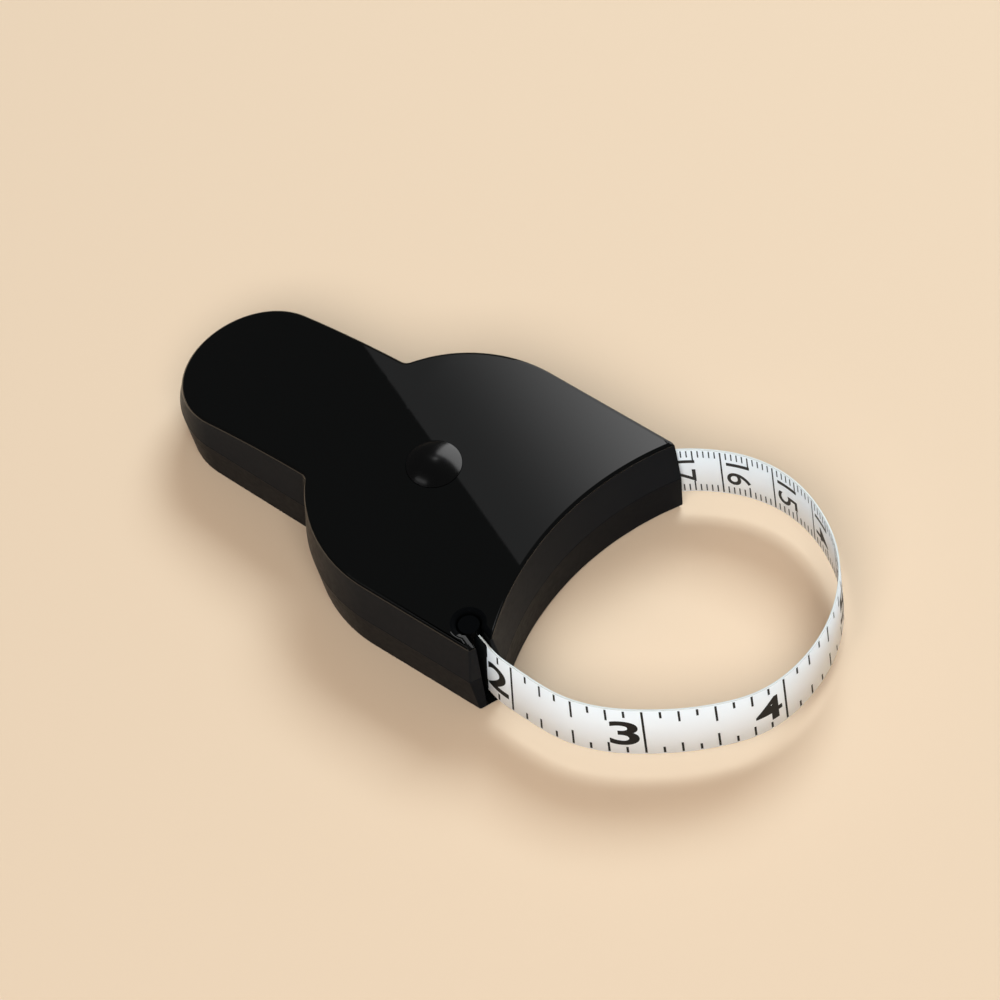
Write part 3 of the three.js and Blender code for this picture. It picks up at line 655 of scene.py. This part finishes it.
class Ribbon:
    """An upright tape along a plan route. Places go by length along it, height and distance out."""

    def __init__(self, knots, lean=lambda s: 0.0):
        self.points, self.run = smooth_route(knots)
        self.lean = lean
        step = np.gradient(self.points, axis=0)
        step /= np.linalg.norm(step, axis=1)[:, None]
        self.normals = np.stack([step[:, 1], -step[:, 0]], 1)

    @property
    def length(self):
        return float(self.run[-1])

    def place(self, s, height, out):
        """A point: height from the tape's middle line, out from its middle surface."""
        centre = v2(*(np.interp(s, self.run, self.points[:, k]) for k in (0, 1)))
        normal = normed(v2(*(np.interp(s, self.run, self.normals[:, k]) for k in (0, 1))))
        tilt = -self.lean(s) * height / TAPE_WIDTH
        x, y = centre + normal * (out + tilt)
        return x, y, TAPE_MIDDLE + height

    def body(self, name, step):
        """The tape as a closed mesh."""
        t, w, b = TAPE_THICKNESS / 2, TAPE_WIDTH / 2, TAPE_EDGE
        section = [(t, b - w), (t, 0), (t, w - b), (t - b, w), (b - t, w)]
        section += [(-t, w - b), (-t, 0), (-t, b - w), (b - t, -w), (t - b, -w)]
        builder = Builder()
        rows = []
        for s in np.linspace(0, self.length, max(2, round(self.length / step)) + 1):
            rows.append(builder.add(self.place(s, h, d) for d, h in section))
        builder.sweep(rows)
        return builder.make(name, TAPE_WHITE, TAPE_SHARP)


LEAN = 1.3  # how far the lower edge stands out by the near horn
LEAN_END = 72.0  # where along the loop the tape stands upright again


def loop_lean(s):
    share = np.clip(1 - s / LEAN_END, 0, 1)
    return LEAN * share * share * (3 - 2 * share)


SLIT_TUCK = 1.6  # how far the loop's piece reaches into the far horn's slit
slot_end = (PIN_PLACE + LOOP_START) / 2
tucked = SLIT_MIDDLE - SLIT_TUCK * unit((SLIT_ANGLE + TURN_ANGLE) / 2)
tape_knots = [PIN_PLACE, slot_end, LOOP_START, *LOOP_ROUTE, EXIT, tucked]
tape = Ribbon(tape_knots, loop_lean)
mouth = tape.run[np.argmin(np.linalg.norm(tape.points - LOOP_START, axis=1))]

tape_piece = tape.body("tape", TAPE_STEP)
tape_piece.data.materials.append(INK_AND_SHADE)
tape_piece.data.materials.append(TAPE_CUT_SHADE)
for face in tape_piece.data.polygons:
    along, aside = in_slot(face.center)
    # Cut edges: grey, partly their own colour and partly painted shade.
    if abs(face.normal.z) > CUT_RISE:
        face.material_index = 2
    # Painted shade: the tape's end inside the slot takes the ink's black.
    elif along < SLOT_SHADE_END and abs(aside) < SLOT_WIDTH:
        face.material_index = 1

# Printed marks: inches outside, centimetres inside
LABEL_AT_MOUTH = 47.0  # the scale's reading, in millimetres, where the tape leaves the slot
CENTIMETRE_SHIFT = 1.7  # the two printed scales don't start quite together
PRINT_LIFT = 0.012
PRINT_MARGIN = 0.4  # nothing is printed nearer to the tape's ends
TICK_MARGIN = 0.35  # from the tape's edges to its ticks
LINE_HALF = 6.15  # half of a line across the tape
FIGURE_CUTS = 14
INCH = 25.4
INCH_LINE = 0.42
INCH_TICKS = {4: (4.6, 3.9, 0.4), 2: (3.1, 2.7, 0.4), 1: (1.9, 1.7, 0.42)}  # upper, lower, width
INCH_FIGURE = (5.2, 7.0)
INCH_FIGURE_GAP = 0.85  # before the inch's line
INCH_FIGURE_DROP = 0.4
INCH_BOLD = 0.021
CENTIMETRE_LINE = 0.3
CENTIMETRE_TICKS = {5: (3.0, 3.0, 0.26), 1: (2.0, 2.0, 0.24)}
DIGIT_WIDTH = 3.15
DIGIT_GAP = 0.3
DIGIT_HEIGHT = 4.4
CENTIMETRE_FIGURE_GAP = 0.9
CENTIMETRE_BOLD = 0.006


class Print:
    """Flat printed shapes laid on one face of the tape."""

    def __init__(self, ribbon, side, shift=0.0):
        self.ribbon = ribbon
        self.side = side
        self.first = mouth - LABEL_AT_MOUTH + shift
        self.builder = Builder()

    def spot(self, label, height):
        out = self.side * (TAPE_THICKNESS / 2 + PRINT_LIFT)
        return self.ribbon.place(label + self.first, height, out)

    def inside(self, label):
        return PRINT_MARGIN < label + self.first < self.ribbon.length - PRINT_MARGIN

    def line(self, label, low, high, width):
        if self.inside(label):
            corners = [(-1, low), (1, low), (1, high), (-1, high)]
            row = self.builder.add(self.spot(label + k * width / 2, h) for k, h in corners)
            self.builder.faces.append(tuple(row))

    def ticks(self, label, reach_top, reach_bottom, width):
        half = TAPE_WIDTH / 2 - TICK_MARGIN
        self.line(label, half - reach_top, half, width)
        self.line(label, -half, -half + reach_bottom, width)

    def figure(self, text, bold, place):
        """A number, drawn in unit size and put on the tape by place(x, y) -> (label, height)."""
        work = text_shape(text, bold)
        index = {}
        for vert in work.verts:
            label, height = place(vert.co.x, vert.co.y)
            index[vert] = self.builder.add([self.spot(label, height)])[0]
        for face in work.faces:
            if all(self.inside(place(v.co.x, v.co.y)[0]) for v in face.verts):
                self.builder.faces.append(tuple(index[v] for v in face.verts))
        work.free()


def text_shape(text, bold):
    """A number as a flat mesh in a unit square from zero, cut into narrow strips both ways."""
    curve = bpy.data.curves.new("figure", "FONT")
    curve.body = text
    curve.offset = bold
    holder = new_object("figure", curve)
    graph = bpy.context.evaluated_depsgraph_get()
    mesh = bpy.data.meshes.new_from_object(holder.evaluated_get(graph))
    work = bmesh.new()
    work.from_mesh(mesh)
    bpy.data.objects.remove(holder)
    bpy.data.curves.remove(curve)
    bpy.data.meshes.remove(mesh)
    xs = [v.co.x for v in work.verts]
    ys = [v.co.y for v in work.verts]
    width, height = max(xs) - min(xs), max(ys) - min(ys)
    for v in work.verts:
        v.co = Vector(((v.co.x - min(xs)) / width, (v.co.y - min(ys)) / height, 0))
    for axis in ((1, 0, 0), (0, 1, 0)):
        for k in range(1, FIGURE_CUTS):
            geometry = [*work.verts, *work.edges, *work.faces]
            cut = Vector(axis) * (k / FIGURE_CUTS)
            bmesh.ops.bisect_plane(work, geom=geometry, plane_co=cut, plane_no=Vector(axis))
    bmesh.ops.triangulate(work, faces=work.faces)
    return work


def print_inches():
    sheet = Print(tape, 1)
    for eighth in range(8, 56):
        label = eighth * INCH / 8
        if eighth % 8 == 0:
            sheet.line(label, -LINE_HALF, LINE_HALF, INCH_LINE)
        else:
            part = next(k for k in INCH_TICKS if eighth % k == 0)
            sheet.ticks(label, *INCH_TICKS[part])
    wide, tall = INCH_FIGURE
    for inch in range(2, 7):
        right = inch * INCH - INCH_FIGURE_GAP
        place = lambda x, y: (right - wide * (1 - x), tall * (y - 0.5) - INCH_FIGURE_DROP)
        sheet.figure(str(inch), INCH_BOLD, place)
    return sheet


def print_centimetres():
    sheet = Print(tape, -1, CENTIMETRE_SHIFT)
    for mm in range(30, 175):
        if mm % 10 == 0:
            sheet.line(mm, -LINE_HALF, LINE_HALF, CENTIMETRE_LINE)
        else:
            part = next(k for k in CENTIMETRE_TICKS if mm % k == 0)
            sheet.ticks(mm, *CENTIMETRE_TICKS[part])
    for cm in range(5, 18):
        digits = len(str(cm))
        across = DIGIT_WIDTH * digits + DIGIT_GAP * (digits - 1)
        # Turned a quarter: a figure's top points to lower readings and it reads downwards.
        place = lambda x, y: (cm * 10 - CENTIMETRE_FIGURE_GAP - DIGIT_HEIGHT * y, across * (0.5 - x))
        sheet.figure(str(cm), CENTIMETRE_BOLD, place)
    return sheet


inch_print = print_inches().builder.make("tape_print_inches", INK_AND_SHADE)
centimetre_print = print_centimetres().builder.make("tape_print_centimetres", PALE_INK)

# The tape and its printed marks are fixed in the world, the solids' tape is hidden, and a path is laid
# along the tape's middle from its far end to the pin.
for piece in (tape_piece, inch_print, centimetre_print):
    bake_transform(piece)
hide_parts("tape_loop", "tape_end")
PATH_POINTS = 160
cord_path = [tape.place(s, 0, 0) for s in np.linspace(tape.length, 0, PATH_POINTS)]
[c * MM for c in tape.place(tape.length, 0, 0)]

# The straight run inside the case, and the wound tape on the spool
RUN_STEP = 0.8
RUN_CLEAR = 0.5  # between the winding and the run
RUN_GAP = 0.1  # between the run and the loop's piece
run_radius = WINDING_OUTER + RUN_CLEAR
run_angle = heading(RUN_TURN) - math.asin(run_radius / length(RUN_TURN))
run_start = run_radius * unit(run_angle + math.pi / 2)
run_half = (run_start + RUN_TURN) / 2
run = Ribbon([run_start, run_half, RUN_TURN, tucked - RUN_GAP * SLIT_OUT])
run_piece = run.body("tape_inner_run", RUN_STEP)
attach(run_piece, "case")
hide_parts("tape_run")


SPIRAL_STEPS = 72  # of one turn


def spiral(name, material, inner, pitch, turns, start, thickness, low, high):
    """A strip wound in a flat spiral about the spool's axis."""
    builder = Builder()
    rows = []
    for i in range(round(turns * SPIRAL_STEPS) + 1):
        out = unit(start + 2 * math.pi * i / SPIRAL_STEPS)
        radius = inner + pitch * i / SPIRAL_STEPS
        corners = [(0, low), (thickness, low), (thickness, high), (0, high)]
        rows.append(builder.add((*(out * (radius + r)), z) for r, z in corners))
    builder.sweep(rows)
    return builder.make(name, material, weld=FINE_WELD)


WOUND_TURNS = 14
wound_piece = spiral(
    "tape_wound",
    TAPE_WHITE,
    WINDING_INNER,
    (WINDING_OUTER - WINDING_INNER - TAPE_THICKNESS) / WOUND_TURNS,
    WOUND_TURNS,
    run_angle + math.pi / 2,
    TAPE_THICKNESS,
    TAPE_BOTTOM,
    TAPE_TOP,
)
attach(wound_piece, "spool")
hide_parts("tape_winding")


# Case


def skin(inset, ends, grow=0.0, exact_slit=True):
    """A ring of the case's outside: points before the slot, the slot's path, and points after it.

    The horns' blunt ends move in by ends, and everything else by inset.
    """
    moved = offset(OUTLINE, inset, (TIPS[0], TIPS[2]), ends)
    rings = []
    for i, p in enumerate(moved):
        if i in TIPS:
            radius = TIP_ROUND if i != TIPS[2] else SLIT_TIP_ROUND
            rings.append(rounded(moved[i - 1], p, moved[(i + 1) % len(moved)], radius))
        else:
            rings.append([p])
    before = [p for ring in rings[: TIPS[0] + 1] for p in ring]
    after = [p for ring in rings[TIPS[1] : TIPS[2] + 1] for p in ring]
    far = [p for ring in rings[TIPS[3] :] for p in ring]
    if exact_slit:
        edges = [SLIT_MIDDLE + k * SLIT_HALF * SLIT_ALONG for k in (1, -1)]
        slit = [crossing(edge, SLIT_OUT, moved[TIPS[2]], FACET_ALONG) for edge in edges]
    else:
        slit = [after[-1] + (far[0] - after[-1]) * share for share in (1 / 3, 2 / 3)]
    half, pocket = SLOT_WIDTH / 2 + grow, POCKET_RADIUS + grow
    throat = math.asin(half / pocket)
    facet = SLOT_DEPTH - ends
    path = [PIN_PLACE + facet * SLOT_OUT - half * SLOT_IN]
    for angle in np.linspace(-throat, throat - 2 * math.pi, POCKET_POINTS):
        path.append(PIN_PLACE + pocket * (math.cos(angle) * SLOT_OUT + math.sin(angle) * SLOT_IN))
    # The slot's inner wall ends where it first meets the horn's end or, past that, the saddle.
    aside = [(p - PIN_PLACE) @ SLOT_IN for p in after]
    if aside[0] >= half:
        path.append(PIN_PLACE + facet * SLOT_OUT + half * SLOT_IN)
    else:
        k = next(i for i, n in enumerate(aside) if n >= half)
        share = (half - aside[k - 1]) / (aside[k] - aside[k - 1])
        corner = after[k - 1] + (after[k] - after[k - 1]) * share
        path.append(corner)
        after = [corner] * k + after[k:]
    return before, path, [*after, *slit, *far], len(after)


def cavity_ring(inset):
    """A ring of the case's inside, with the slit's two inner corners in the far horn."""
    moved = list(offset(CAVITY, inset))
    middle = crossing(RUN_TURN, unit(TURN_ANGLE), moved[CAVITY_TIPS[2]], FACET_ALONG)
    slit = [middle + k * SLIT_HALF * FACET_ALONG for k in (1, -1)]
    at = CAVITY_TIPS[2] + 1
    return [*moved[:at], *slit, *moved[at:]], at


def joined(row, slot):
    """A ring as one loop, along the slot's path or past it, and where its last points start."""
    before, path, after = row
    path = path if slot else [path[0], path[-1]]
    return [*before, *path, *after], len(before) + len(path)


class Shell:
    """Outside and inside rings of one half of the case, joined into one hollow solid."""

    def __init__(self):
        self.mesh = Builder()
        self.outside = []
        self.inside = []

    def level(self, height, inset, ends=0.0, grow=0.0, slot=True, slit=True, exact=True):
        """Adds an outside ring. slot and slit say what is open between it and the next ring."""
        before, path, after, cut = skin(inset, ends, grow, exact)
        row = [self.mesh.add(raised(points, height)) for points in (before, path, after)]
        self.outside.append((row, cut, slot, slit))

    def inner_level(self, height, inset):
        points, at = cavity_ring(inset)
        self.inside.append((self.mesh.add(raised(points, height)), at))

    def sides(self):
        for (low, cut, slot, slit), (high, _, next_slot, _) in zip(self.outside, self.outside[1:]):
            lower, last = joined(low, slot)
            upper, _ = joined(high, slot)
            self.mesh.strip(lower, upper, last + cut if slit else None)
            if slot != next_slot:
                self.mesh.face(high[1])

    def loop(self, k):
        row, cut, slot, _ = self.outside[k]
        loop, last = joined(row, slot)
        return loop, last + cut

    def inner_sides(self, open_spans):
        for k, ((low, at), (high, _)) in enumerate(zip(self.inside, self.inside[1:])):
            self.mesh.strip(low, high, at if k in open_spans else None)

    def window(self, outer_levels, inner_levels, cap):
        """The slit's walls between the outside and the inside, closed at one end."""
        outer = []
        for k in outer_levels:
            loop, at = self.loop(k)
            outer.append((loop[at], loop[at + 1]))
        inner = []
        for k in inner_levels:
            row, at = self.inside[k]
            inner.append((row[at], row[at + 1]))
        for side in (0, 1):
            chain = [pair[side] for pair in outer]
            back = [pair[side] for pair in reversed(inner)]
            self.mesh.face([*chain, *back])
        end_outer, end_inner = (outer[-1], inner[-1]) if cap == "top" else (outer[0], inner[0])
        self.mesh.faces.append((*end_outer, end_inner[1], end_inner[0]))

    def rim(self, outer_level, inner_level):
        """The face at the parting line, which the slit cuts open."""
        loop, at = self.loop(outer_level)
        row, inner_at = self.inside[inner_level]
        around = [*loop[at + 1 :], *loop[: at + 1]]
        back = [*row[inner_at + 1 :], *row[: inner_at + 1]][::-1]
        self.mesh.face([*around, *back])


def edge_rings(radius):
    """Inset and drop of each ring of a rounded edge."""
    for k in range(EDGE_STEPS + 1):
        angle = math.pi / 2 * k / EDGE_STEPS
        yield radius * (1 - math.cos(angle)), radius * (1 - math.sin(angle))


def top_shell():
    shell = Shell()
    low = PARTING_Z + PARTING_GAP / 2
    far_x = SLIT_MIDDLE[0]

    def between(share):
        return lambda x: low + share * (top_at(x) - TOP_EDGE - low)

    chamfer = PARTING_CHAMFER / (top_at(0) - low)
    slit_share = (SLIT_HIGH - low) / (top_at(far_x) - TOP_EDGE - low)
    shell.level(low, PARTING_CHAMFER, PARTING_CHAMFER)
    shell.level(between(chamfer), DRAFT * chamfer)
    shell.level(between(slit_share), DRAFT * slit_share, slit=False)
    for inset, drop in edge_rings(TOP_EDGE):
        height = lambda x, drop=drop: top_at(x) - drop
        ends, grow = TIP_EDGE * inset, SLOT_EDGE * inset
        shell.level(height, DRAFT + inset, ends, grow, slit=False, exact=False)
    shell.sides()
    roof = lambda x: top_at(x) - ROOF
    inner_share = (SLIT_HIGH - low) / (roof(far_x) - low)
    shell.inner_level(low, WALL)
    shell.inner_level(lambda x: low + inner_share * (roof(x) - low), WALL + DRAFT * inner_share)
    shell.inner_level(roof, WALL + DRAFT)
    shell.inner_sides({0})
    shell.window((0, 1, 2), (0, 1), "top")
    shell.rim(0, 0)
    mesh = shell.mesh
    sleeve = [(SLEEVE_INNER, top_at), (SLEEVE_INNER, SLEEVE_LOW)]
    sleeve += [(SLEEVE_OUTER, SLEEVE_LOW), (SLEEVE_OUTER, roof)]
    rows = mesh.lathe(sleeve, segments=96, closed=False)
    mesh.lid(shell.loop(-1)[0], rows[0])
    mesh.lid(shell.inside[-1][0], rows[-1])
    under_roof = lambda x: roof(x) + ROOF_SINK
    stop_ring = [(STOP_INNER, STOP_LOW), (STOP_OUTER, STOP_LOW)]
    stop_ring += [(STOP_OUTER, under_roof), (STOP_INNER, under_roof)]
    mesh.lathe(stop_ring)
    for place in SCREWS:
        boss = SCREW_HOLE + BOSS_WALL
        profile = [(SCREW_HOLE, low), (boss, low), (boss, under_roof)]
        profile += [(0, under_roof), (0, HOLE_TOP), (SCREW_HOLE, HOLE_TOP)]
        mesh.lathe(profile, place, 40)
    return mesh.make("case_top", BLACK)


def bottom_shell():
    shell = Shell()
    high = PARTING_Z - PARTING_GAP / 2

    def inset_at(z):
        return DRAFT * (high - z) / (high - BASE_EDGE)

    for inset, drop in reversed(list(edge_rings(BASE_EDGE))):
        shell.level(drop, DRAFT + inset, TIP_EDGE * inset, slot=False, slit=False, exact=False)
    shell.level(SLOT_FLOOR, inset_at(SLOT_FLOOR), slit=False, exact=False)
    shell.level(SLIT_LOW, inset_at(SLIT_LOW))
    shell.level(high - PARTING_CHAMFER, inset_at(high - PARTING_CHAMFER))
    shell.level(high, PARTING_CHAMFER, PARTING_CHAMFER)
    shell.sides()
    share = (SLIT_LOW - FLOOR) / (high - FLOOR)
    shell.inner_level(FLOOR, WALL + DRAFT)
    shell.inner_level(SLIT_LOW, WALL + DRAFT * (1 - share))
    shell.inner_level(high, WALL)
    shell.inner_sides({1})
    count = len(shell.outside)
    shell.window((count - 3, count - 2, count - 1), (1, 2), "bottom")
    shell.rim(count - 1, 2)
    mesh = shell.mesh
    base_holes, floor_holes = [], []
    for place in SCREWS:
        profile = [(SCREW_RECESS + RECESS_CHAMFER, 0), (SCREW_RECESS, RECESS_CHAMFER)]
        rows = mesh.lathe([*profile, (SCREW_RECESS, FLOOR)], place, 48, closed=False)
        base_holes.append(rows[0])
        floor_holes.append(rows[-1])
        boss, foot = SCREW_RECESS + BOSS_WALL, FLOOR - BOSS_SINK
        tube = [(SCREW_RECESS, foot), (boss, foot), (boss, high)]
        tube += [(SCREW_HOLE, high), (SCREW_HOLE, RECESS_TOP), (SCREW_RECESS, RECESS_TOP)]
        mesh.lathe(tube, place, 48)
    mesh.face(shell.loop(0)[0], *base_holes)
    mesh.face(shell.inside[0][0], *floor_holes)
    low = FLOOR - SINK
    post = [(0, low), (FOOT_RADIUS, low), (FOOT_RADIUS, FOOT_TOP), (POST_RADIUS, FOOT_TOP)]
    post += [(POST_RADIUS, POST_TOP), (POST_BORE, POST_TOP), (POST_BORE, BORE_FLOOR), (0, BORE_FLOOR)]
    mesh.lathe(post)
    bearing = [(BEARING_INNER, low), (BEARING_OUTER, low)]
    bearing += [(BEARING_OUTER, BEARING_TOP), (BEARING_INNER, BEARING_TOP)]
    mesh.lathe(bearing)
    square = [(x * KEY_HALF, y * KEY_HALF) for x, y in CORNERS]
    rows = [mesh.add(raised(square, z)) for z in (KEY_LOW, KEY_TOP)]
    bore = [mesh.add(circle((0, 0), POST_BORE, z, 32)) for z in (KEY_LOW, KEY_TOP)]
    mesh.strip(rows[0], rows[1])
    mesh.strip(bore[0], bore[1])
    mesh.face(rows[0], bore[0])
    mesh.face(rows[1], bore[1])
    return mesh.make("case_bottom", BLACK)


case_top = top_shell()
case_bottom = bottom_shell()
# The lower shell's walls take the darker satin as painted shade.
for piece, wall, node in ((case_top, SATIN, "top_shell"), (case_bottom, SATIN_SHADED, "bottom_shell")):
    finish_case(piece, wall)
    flatten_normals(piece)
    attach(piece, "case")
    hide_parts(node)


# Button
BUTTON_RADIUS = 4.98
BUTTON_RIM = TOP_Z + 0.08
BUTTON_DOME = 1.4
DOME_STEPS = 24
BUTTON_ROOF = 19.0  # underside of the button's top
BUTTON_BORE = 3.9
PEG_RADIUS = 0.8
PEG_LOW = 16.2
FLANGE_RADIUS = 6.1
FLANGE_LOW = 15.7
FLANGE_HIGH = 16.6


def button():
    ball = (BUTTON_RADIUS**2 + BUTTON_DOME**2) / (2 * BUTTON_DOME)
    middle = BUTTON_RIM + BUTTON_DOME - ball
    edge = math.asin(BUTTON_RADIUS / ball)
    profile = [(0, PEG_LOW), (PEG_RADIUS, PEG_LOW), (PEG_RADIUS, BUTTON_ROOF)]
    profile += [(BUTTON_BORE, BUTTON_ROOF), (BUTTON_BORE, FLANGE_LOW), (FLANGE_RADIUS, FLANGE_LOW)]
    profile += [(FLANGE_RADIUS, FLANGE_HIGH), (BUTTON_RADIUS, FLANGE_HIGH)]
    for k in range(DOME_STEPS + 1):
        angle = edge * (1 - k / DOME_STEPS)
        profile.append((ball * math.sin(angle), middle + ball * math.cos(angle)))
    builder = Builder()
    builder.lathe(profile, segments=96, closed=False)
    return builder.make("button", GLOSSY)


button_piece = button()
flatten_normals(button_piece)
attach(button_piece, "button")
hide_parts("push_button")

# Springs. The mainspring's outer end is anchored in the spool, so it is a piece of its own.
mainspring_low, mainspring_high = (corner[2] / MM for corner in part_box("mainspring"))
MAINSPRING_SHARE = 1 - HOOK_TURN / (2 * math.pi)
mainspring_piece = spiral(
    "mainspring_strip",
    SPRING_STEEL,
    MAINSPRING_INNER - MAINSPRING_THICKNESS / 2,
    MAINSPRING_PITCH,
    MAINSPRING_TURNS - 1 + MAINSPRING_SHARE,
    0,
    MAINSPRING_THICKNESS,
    mainspring_low,
    mainspring_high,
)
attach(mainspring_piece, "case")
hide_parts("mainspring")


def anchor_strip():
    """The mainspring's outer end: along its last turn, then out through the drum's wall."""
    t = MAINSPRING_THICKNESS / 2
    outer = MAINSPRING_INNER + MAINSPRING_PITCH * MAINSPRING_TURNS
    angles = np.linspace(-ANCHOR_SHARE * HOOK_TURN, 0, 7)
    radii = outer + MAINSPRING_PITCH * angles / (2 * math.pi)
    inside = [unit(angle) * (radius - t) for angle, radius in zip(angles, radii)]
    outside = [unit(angle) * (radius + t) for angle, radius in zip(angles, radii)]
    inside[-1] = v2(outer - t, t)
    outside[-1] = v2(outer + t, -t)
    inside.append(v2(ANCHOR_REACH, t))
    outside.append(v2(ANCHOR_REACH, -t))
    builder = Builder()
    loop = [*outside, *inside[::-1]]
    low = builder.add((*p, mainspring_low) for p in loop)
    high = builder.add((*p, mainspring_high) for p in loop)
    builder.strip(low, high)
    builder.face(low)
    builder.face(high)
    return builder.make("mainspring_anchor", SPRING_STEEL)


anchor_piece = anchor_strip()
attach(anchor_piece, "spool")


def coil_spring():
    """The button's spring, and its lower and upper ends."""
    low, high = (corner[2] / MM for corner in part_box("button_spring"))
    wire = COIL_WIRE / 2
    builder = Builder()
    rows = []
    for i in range(COIL_TURNS * COIL_STEPS + 1):
        out = unit(2 * math.pi * i / COIL_STEPS)
        z = low + wire + (high - low - COIL_WIRE) * i / (COIL_TURNS * COIL_STEPS)
        angles = np.arange(WIRE_SIDES) * (2 * math.pi / WIRE_SIDES)
        ring = [(*(out * (COIL_RADIUS + wire * math.cos(a))), z + wire * math.sin(a)) for a in angles]
        rows.append(builder.add(ring))
    builder.sweep(rows)
    return builder.make("button_coil", SPRING_STEEL, weld=FINE_WELD), low, high


coil_piece, coil_low, coil_high = coil_spring()
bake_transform(coil_piece)
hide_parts("button_spring")

# Inner pieces and screws keep their solids, with their own finishes
FINISHES = {
    # The pin deep in its pocket is the darker matt black, painted shade like the pocket's.
    "lock_pin": MATT_SHADE,
    "brake_ring": NYLON,
    "spool": NYLON,
    "spool_cover": NYLON,
    "case_screw_handle": ZINC,
    "case_screw_near_horn": ZINC,
    "case_screw_far_horn": ZINC,
}
for name, material in FINISHES.items():
    mesh = nodes[name].data
    mesh.materials.clear()
    mesh.materials.append(material)
PIN_EDGE = 0.5
soft_edge = nodes["lock_pin"].modifiers.new("soft_edge", "BEVEL")
soft_edge.width = PIN_EDGE * MM
soft_edge.segments = 4
soft_edge.limit_method = "ANGLE"
soft_edge.angle_limit = math.radians(50)


# Floor and lights
FLOOR_HALF = 3.0  # metres
FLOOR_Z = -0.0001
FLOOR_COLOR = (0.635, 0.438, 0.292)


def make_floor():
    mesh = bpy.data.meshes.new("floor")
    corners = [(x * FLOOR_HALF, y * FLOOR_HALF, FLOOR_Z) for x, y in CORNERS]
    mesh.from_pydata(corners, [], [(0, 1, 2, 3)])
    material, shader = new_material("floor_paper", FLOOR_COLOR, 0.9)
    set_inputs(shader, {"Specular IOR Level": 0.1})
    mesh.materials.append(material)
    floor = new_object("floor", mesh)


def area_light(name, way, distance, size, power, color=(1, 1, 1), turn=0.0):
    """A soft light in a direction and at a distance in metres, shining at the origin."""
    data = bpy.data.lights.new(name, "AREA")
    data.shape = "RECTANGLE"
    data.size, data.size_y = size
    data.energy = power
    data.color = color
    lamp = new_object(name, data)
    lamp.location = way * distance
    lamp.rotation_mode = "QUATERNION"
    aim = (-way).to_track_quat("-Z", "Y")
    lamp.rotation_quaternion = aim @ Quaternion((0, 0, 1), turn)
    return lamp


def sky(azimuth, elevation):
    """A direction from its compass angles in degrees, from +X towards +Y and up."""
    a, e = math.radians(azimuth), math.radians(elevation)
    return Vector((math.cos(a) * math.cos(e), math.sin(a) * math.cos(e), math.sin(e)))


CARD_OUTLINE = [(24, 0), (24, 54), (-26, 42), (-38, 26), (-56, 13), (-78, 4), (-102, -3), (-132, -14)]
CARD_OUTLINE += [(-121.3, -13), (-97.6, -10.4), (-69.9, -6.8), (-47.3, -3.4), (-26, 0)]
CARD_PLACE = Vector((-0.17806, 0.17374, 0.39223))  # metres
CARD_ALONG = Vector((0.83104, -0.21322, 0.51372))
CARD_ACROSS = Vector((0.37198, 0.89973, -0.2283))
CARD_FADE = 80
CARD_DIM = 0.335
CARD_BRIGHT = 3.75


def make_card():
    """A dim panel that the top face mirrors, brighter towards one side."""
    mesh = bpy.data.meshes.new("card")
    corners = [(u * MM, v * MM, 0) for u, v in CARD_OUTLINE]
    mesh.from_pydata(corners, [], [range(len(corners))])
    material = bpy.data.materials.new("card")
    material.use_nodes = True
    tree = material.node_tree
    tree.nodes.remove(tree.nodes["Principled BSDF"])
    place = tree.nodes.new("ShaderNodeTexCoord")
    parts = tree.nodes.new("ShaderNodeSeparateXYZ")
    ramp = tree.nodes.new("ShaderNodeMapRange")
    ramp.interpolation_type = "SMOOTHERSTEP"
    set_inputs(ramp, {"From Max": CARD_FADE * MM, "To Min": CARD_DIM, "To Max": CARD_BRIGHT})
    glow = tree.nodes.new("ShaderNodeEmission")
    tree.links.new(place.outputs["Object"], parts.inputs["Vector"])
    tree.links.new(parts.outputs["Y"], ramp.inputs["Value"])
    tree.links.new(ramp.outputs["Result"], glow.inputs["Strength"])
    tree.links.new(glow.outputs["Emission"], tree.nodes["Material Output"].inputs["Surface"])
    mesh.materials.append(material)
    card = new_object("card", mesh)
    facing = CARD_ALONG.cross(CARD_ACROSS)
    axes = Matrix((CARD_ALONG, CARD_ACROSS, facing)).transposed().to_4x4()
    card.matrix_world = Matrix.Translation(CARD_PLACE) @ axes
    card.visible_camera = False
    card.visible_diffuse = False
    card.visible_shadow = False


def make_lights():
    world = bpy.data.worlds.new("studio")
    bpy.context.scene.world = world
    world.use_nodes = True
    background = world.node_tree.nodes["Background"]
    set_inputs(background, {"Color": (1.0, 0.98, 0.96, 1), "Strength": 0.043})
    # These three light the scene and aren't mirrored in the case.
    key = area_light("key", sky(100, 50), 1.1, (0.58, 0.46), 14, (0.62, 0.83, 1))
    dome = area_light("dome", Vector((0, 0, 1)), 1.5, (3.2, 3.2), 12, (1, 0.78, 0.58))
    front = area_light("front", sky(-54, 51), 1.3, (1.0, 0.6), 17.2, (0.8, 0.92, 1))
    for lamp in (key, dome, front):
        lamp.visible_glossy = False
    # These are only mirrored: along the edges, and on the button.
    edge = area_light("edge", sky(-92, 24), 1.3, (0.7, 0.14), 0.75)
    panel = area_light("panel", sky(91, 24.5), 1.1, (1.2, 1.0), 4.8)
    strip = area_light("strip", sky(-126, 57), 1.1, (0.5, 0.11), 0.12, turn=math.radians(38))
    for lamp in (edge, panel, strip):
        lamp.visible_diffuse = False
    make_card()


make_floor()
make_lights()
bpy.context.scene.view_settings.view_transform = "Standard"
